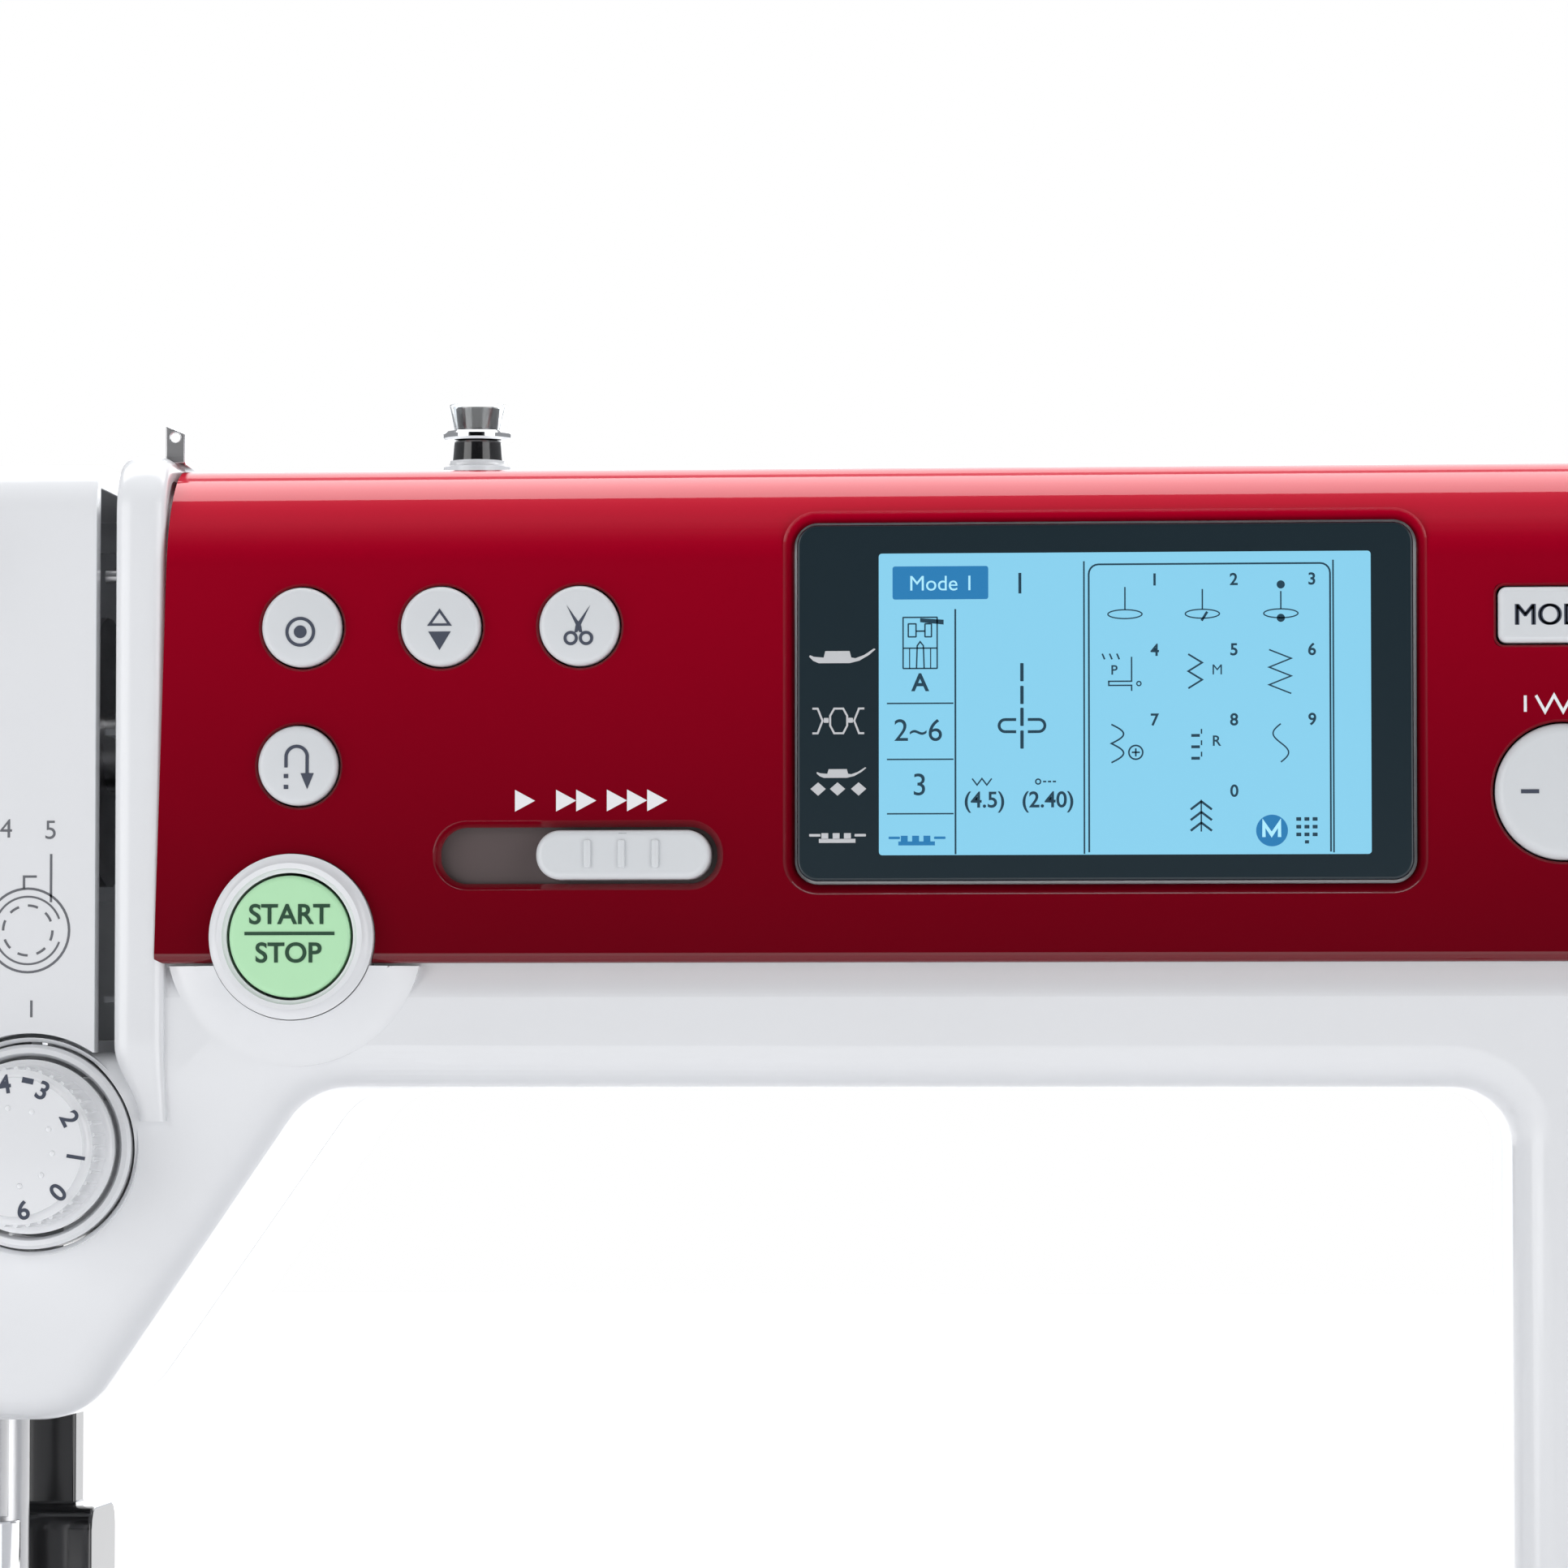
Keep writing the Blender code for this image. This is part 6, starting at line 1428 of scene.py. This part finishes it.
def stitching_parts():
    refined("take_up_lever", chrome(), 0.3, 3)
    refined("needle_bar", steel(), 0.25)
    refined("presser_bar", steel(), 0.25)
    at = middle("needle")[:2]
    z0, z1 = low("needle", 2), high("needle", 2)
    profile = [(z0, 0.05), (z0 + 0.8, 0.2), (z0 + 3, 0.42), (z1 - 14, 0.45), (z1 - 12, 0.95), (z1 - 0.3, 1.0)]
    profile += [(z1, 0.8)]
    needle = turned("fine_needle", "Z", at, profile, chrome(), 32)
    settle(needle, "needle_unit", "chrome", "needle")
    refined("needle_clamp", chrome(), 0.35, 3)
    refined("foot_holder", chrome(), 0.5, 3)
    refined("presser_foot", chrome(), 0.25, 3)
    lifter = refined("presser_lifter", black(), 0.9, 4)
    lifter.name = "lifter"
    refined("needle_plate", steel(), 0.3, 3)
    refined("hook_cover", clear(), 0.4, 3)
    refined("feed_dog", steel(), 0.0)
    refined("bobbin", clear(), 0.15, 2)
    refined("bobbin_case", black(), 0.3, 2)
    x, y, _ = middle("needle_plate")
    seams = []
    for k in range(1, 5):
        for side in (-1, 1):
            u = x + side * (9 + 3 * k)
            outline = rectangle(u - 0.15, u + 0.15, y - 8, y + 16)
            rings = soft_rings("Z", outline, BED_TOP - 0.1, BED_TOP + 0.05, 0.03, 2)
            seams.append(loft("line", rings, grey_ink()))
    settle(smooth(join("seam_lines", seams)), "machine", "steel")
    screws = []
    for dx in (-22, 22):
        for dy in (-14, 18):
            profile = [(BED_TOP - 0.5, 2.6), (BED_TOP + 0.25, 2.6), (BED_TOP + 0.5, 2.2), (BED_TOP + 0.5, 1.1),
                       (BED_TOP + 0.2, 1.0), (BED_TOP + 0.2, 0)]
            screws.append(turned("screw", "Z", (x + dx, y + dy), profile, steel(), 48))
    settle(smooth(join("plate_screws", screws)), "machine", "steel")


def base_and_power():
    refined("base_tray", tray_grey(), 0.8, 3)
    for node in ("foot_front_left", "foot_front_right", "foot_rear_left", "foot_rear_right"):
        x, y, _ = middle(node)
        r = (high(node, 0) - low(node, 0)) / 2
        top = high(node, 2)
        profile = [(0, r - 3)] + bow((0, r - 1.4), (1.4, r), True, 8) + [(top - 1, r), (top, r - 0.6)]
        settle(turned(node + "_pad", "Z", (x, y), profile, rubber(), 72, angle=50), "machine", "rubber", node)
    refined("power_socket", black(), 0.6, 3)
    refined("power_switch", black(), 0.5, 3)
    node = "power_socket"
    y, z = middle(node)[1], middle(node)[2]
    pins = []
    for dy in (-5, 5):
        outline = rectangle(y + dy - 1, y + dy + 1, z - 3, z + 3, 0.9, 6)
        pins.append(loft("pin", soft_rings("X", outline, RIGHT_X - 12.2, RIGHT_X - 3, 0.6, 4), chrome()))
    settle(smooth(join("inlet_pins", pins)), "machine", "black_plastic")
    y, z1 = middle("power_switch")[1], high("power_switch", 2)
    bar = rectangle(y - 0.4, y + 0.4, z1 - 7, z1 - 3)
    mark = loft("on_mark", soft_rings("X", bar, RIGHT_X + 0.6, RIGHT_X + 1.35, 0.05, 2), white_ink())
    settle(mark, "rocker", "black_plastic")


INSIDE = {
    "upper_shaft": steel, "lower_shaft": steel, "rotary_hook": steel, "motor_pulley": steel,
    "tension_discs": steel, "drive_motor": steel, "arm_frame": cast, "timing_belt": rubber,
    "drive_belt": rubber,
}


def inside_parts():
    for node, material in INSIDE.items():
        refined(node, material(), 0.0)
    board = finish("board_green", (0.01, 0.11, 0.035), 0.45, coat=0.4, grain=0.2, scale=300, mottle=0.3)
    refined("main_board", board, 0.0)
    refined("lcd_module", finish("lcd_back", (0.3, 0.32, 0.34), 0.4, mottle=0.05), 0.0)


# ---- stage --------------------------------------------------------------------------------------


def area_light(name, place, aim, size, power, colour=(1, 1, 1), size_y=None):
    light = bpy.data.lights.new(name, "AREA")
    light.energy = power
    light.size = size
    light.color = colour
    if size_y:
        light.shape = "RECTANGLE"
        light.size_y = size_y
    lamp = bpy.data.objects.new(name, light)
    lamp.location = place
    lamp.rotation_euler = (Vector(aim) - Vector(place)).to_track_quat("-Z", "Y").to_euler()
    bpy.context.scene.collection.objects.link(lamp)


def floor_finish():
    """A pale matt floor that glows more with its distance from the middle, so that it fades to white."""
    made = finish("pale_floor", (0.6, 0.6, 0.61), 0.6, mottle=0.005, glow=(1, 1, 1))
    nodes, links = made.node_tree.nodes, made.node_tree.links
    reach = nodes.new("ShaderNodeVectorMath")
    reach.operation = "LENGTH"
    fade = nodes.new("ShaderNodeMapRange")
    fade.interpolation_type = "SMOOTHSTEP"
    for place, value in (("From Min", 0.3), ("From Max", 1.2), ("To Min", 0.25), ("To Max", 1.0)):
        fade.inputs[place].default_value = value
    links.new(nodes["Texture Coordinate"].outputs["Object"], reach.inputs[0])
    links.new(reach.outputs["Value"], fade.inputs["Value"])
    links.new(fade.outputs["Result"], nodes["Principled BSDF"].inputs["Emission Strength"])
    return made


def stage():
    floor_mesh = bpy.data.meshes.new("floor")
    half = 6
    corners = [(-half, -half, 0), (half, -half, 0), (half, half, 0), (-half, half, 0)]
    floor_mesh.from_pydata(corners, [], [(0, 1, 2, 3)])
    floor = bpy.data.objects.new("floor", floor_mesh)
    bpy.context.scene.collection.objects.link(floor)
    floor_mesh.materials.append(floor_finish())
    world = bpy.data.worlds.new("studio")
    bpy.context.scene.world = world
    world.use_nodes = True
    nodes, links = world.node_tree.nodes, world.node_tree.links
    nodes.clear()
    out = nodes.new("ShaderNodeOutputWorld")
    mix = nodes.new("ShaderNodeMixShader")
    path = nodes.new("ShaderNodeLightPath")
    seen, around = nodes.new("ShaderNodeBackground"), nodes.new("ShaderNodeBackground")
    seen.inputs["Color"].default_value = (1, 1, 1, 1)
    around.inputs["Color"].default_value = (0.92, 0.95, 1, 1)
    way = nodes.new("ShaderNodeTexCoord")
    part = nodes.new("ShaderNodeSeparateXYZ")
    fade = nodes.new("ShaderNodeMapRange")
    fade.interpolation_type = "SMOOTHSTEP"
    fade.inputs["From Min"].default_value = -0.98
    fade.inputs["From Max"].default_value = -0.55
    fade.inputs["To Max"].default_value = settings().ambient
    behind = nodes.new("ShaderNodeMapRange")
    behind.interpolation_type = "SMOOTHSTEP"
    behind.inputs["From Min"].default_value = 0.9
    behind.inputs["From Max"].default_value = 0.97
    total = nodes.new("ShaderNodeMath")
    total.operation = "ADD"
    links.new(way.outputs["Generated"], part.inputs["Vector"])
    links.new(part.outputs["Y"], fade.inputs["Value"])
    links.new(part.outputs["Y"], behind.inputs["Value"])
    links.new(fade.outputs["Result"], total.inputs[0])
    links.new(behind.outputs["Result"], total.inputs[1])
    links.new(total.outputs["Value"], around.inputs["Strength"])
    links.new(path.outputs["Is Camera Ray"], mix.inputs["Fac"])
    links.new(around.outputs["Background"], mix.inputs[1])
    links.new(seen.outputs["Background"], mix.inputs[2])
    links.new(mix.outputs["Shader"], out.inputs["Surface"])
    power = settings().light
    area_light("overhead", (0.0, 0.21, 1.1), (0, 0.21, 0.2), 1.8, 14 * power, size_y=0.66)
    area_light("left_front", (-1.0, -1.0, 0.45), (-0.05, 0, 0.2), 0.9, 5.8 * power)
    area_light("right_front", (1.0, -1.0, 0.45), (0.05, 0, 0.2), 0.9, 5.2 * power)
    area_light("back_fill", (0.1, 1.2, 0.8), (0, 0, 0.15), 1.2, 6 * power)
    view = bpy.data.cameras.new("view")
    view.lens = 157
    view.clip_start = 0.02
    camera = bpy.data.objects.new("view", view)
    place, aim = Vector(settings().eye), Vector(settings().aim)
    camera.location = place
    camera.rotation_euler = (aim - place).to_track_quat("-Z", "Y").to_euler()
    bpy.context.scene.collection.objects.link(camera)
    bpy.context.scene.camera = camera
    bpy.context.scene.view_settings.view_transform = "Standard"


# ---- add-on -------------------------------------------------------------------------------------


class SewingSettings(bpy.types.PropertyGroup):
    """Finishes, lights and viewpoint"""

    white: FloatVectorProperty(name="White", description="Colour of the casings", subtype="COLOR",
                               default=(0.78, 0.79, 0.81), min=0, max=1)
    red: FloatVectorProperty(name="Red", description="Colour of the control panel", subtype="COLOR",
                             default=(0.22, 0.0, 0.009), min=0, max=1)
    light: FloatProperty(name="Light", description="Strength of the studio lights", default=1.0, min=0)
    ambient: FloatProperty(name="Ambient", description="Strength of the surrounding light", default=0.35, min=0)
    eye: FloatVectorProperty(name="Eye", description="Where the camera stands", subtype="XYZ", unit="LENGTH",
                             default=(0.030, -0.850, 0.190))
    aim: FloatVectorProperty(name="Aim", description="What the camera looks at", subtype="XYZ", unit="LENGTH",
                             default=(-0.033, -0.050, 0.2276))


class SEWING_OT_casings(bpy.types.Operator):
    """Arm, head and bed casings, thread slot plate, free arm and extension table"""
    bl_idname = "sewing.casings"
    bl_label = "Casings"

    def execute(self, context):
        for build in (front_casing, rear_casing, head_cover, slot_plate, bed, free_arm, table):
            build()
        return {"FINISHED"}


class SEWING_OT_panel(bpy.types.Operator):
    """Control panel with its openings"""
    bl_idname = "sewing.panel"
    bl_label = "Control panel"

    def execute(self, context):
        panel_body()
        return {"FINISHED"}


class SEWING_OT_controls(bpy.types.Operator):
    """Keys, start key, speed slider and their marks"""
    bl_idname = "sewing.controls"
    bl_label = "Keys and slider"

    def execute(self, context):
        for build in (panel_keys, start_stop, speed_control, right_controls):
            build()
        return {"FINISHED"}


class SEWING_OT_display(bpy.types.Operator):
    """Display window with its picture"""
    bl_idname = "sewing.display"
    bl_label = "Display"

    def execute(self, context):
        display()
        return {"FINISHED"}


class SEWING_OT_tension(bpy.types.Operator):
    """Numbered tension dial"""
    bl_idname = "sewing.tension"
    bl_label = "Tension dial"

    def execute(self, context):
        tension()
        return {"FINISHED"}


class SEWING_OT_fittings(bpy.types.Operator):
    """Guides, winder, lid and handle on the arm, and the handwheel"""
    bl_idname = "sewing.fittings"
    bl_label = "Fittings"

    def execute(self, context):
        top_fittings()
        wheel()
        return {"FINISHED"}


class SEWING_OT_stitching(bpy.types.Operator):
    """Needle, presser foot, plate, hook and lifter"""
    bl_idname = "sewing.stitching"
    bl_label = "Stitching parts"

    def execute(self, context):
        stitching_parts()
        return {"FINISHED"}


class SEWING_OT_base(bpy.types.Operator):
    """Base, feet, mains inlet, switch and the parts inside"""
    bl_idname = "sewing.base"
    bl_label = "Base and inside"

    def execute(self, context):
        base_and_power()
        inside_parts()
        return {"FINISHED"}


class SEWING_OT_stage(bpy.types.Operator):
    """Floor, lights and camera"""
    bl_idname = "sewing.stage"
    bl_label = "Stage"

    def execute(self, context):
        stage()
        return {"FINISHED"}


class SEWING_PT_sidebar(bpy.types.Panel):
    """Settings and steps in the sidebar"""
    bl_label = "Sewing machine"
    bl_idname = "SEWING_PT_sidebar"
    bl_space_type = "VIEW_3D"
    bl_region_type = "UI"
    bl_category = "Sewing"

    def draw(self, context):
        for name in SewingSettings.__annotations__:
            self.layout.prop(context.scene.sewing, name)
        for operator in OPERATORS:
            self.layout.operator(operator.bl_idname)


OPERATORS = (
    SEWING_OT_casings, SEWING_OT_panel, SEWING_OT_controls, SEWING_OT_display, SEWING_OT_tension,
    SEWING_OT_fittings, SEWING_OT_stitching, SEWING_OT_base, SEWING_OT_stage,
)
CLASSES = (SewingSettings, *OPERATORS, SEWING_PT_sidebar)


def register():
    for item in CLASSES:
        bpy.utils.register_class(item)
    bpy.types.Scene.sewing = PointerProperty(type=SewingSettings)


def unregister():
    del bpy.types.Scene.sewing
    for item in reversed(CLASSES):
        bpy.utils.unregister_class(item)


def main():
    register()
    for step in OPERATORS:
        getattr(bpy.ops.sewing, step.bl_idname.split(".")[1])()


if __name__ == "__main__":
    main()
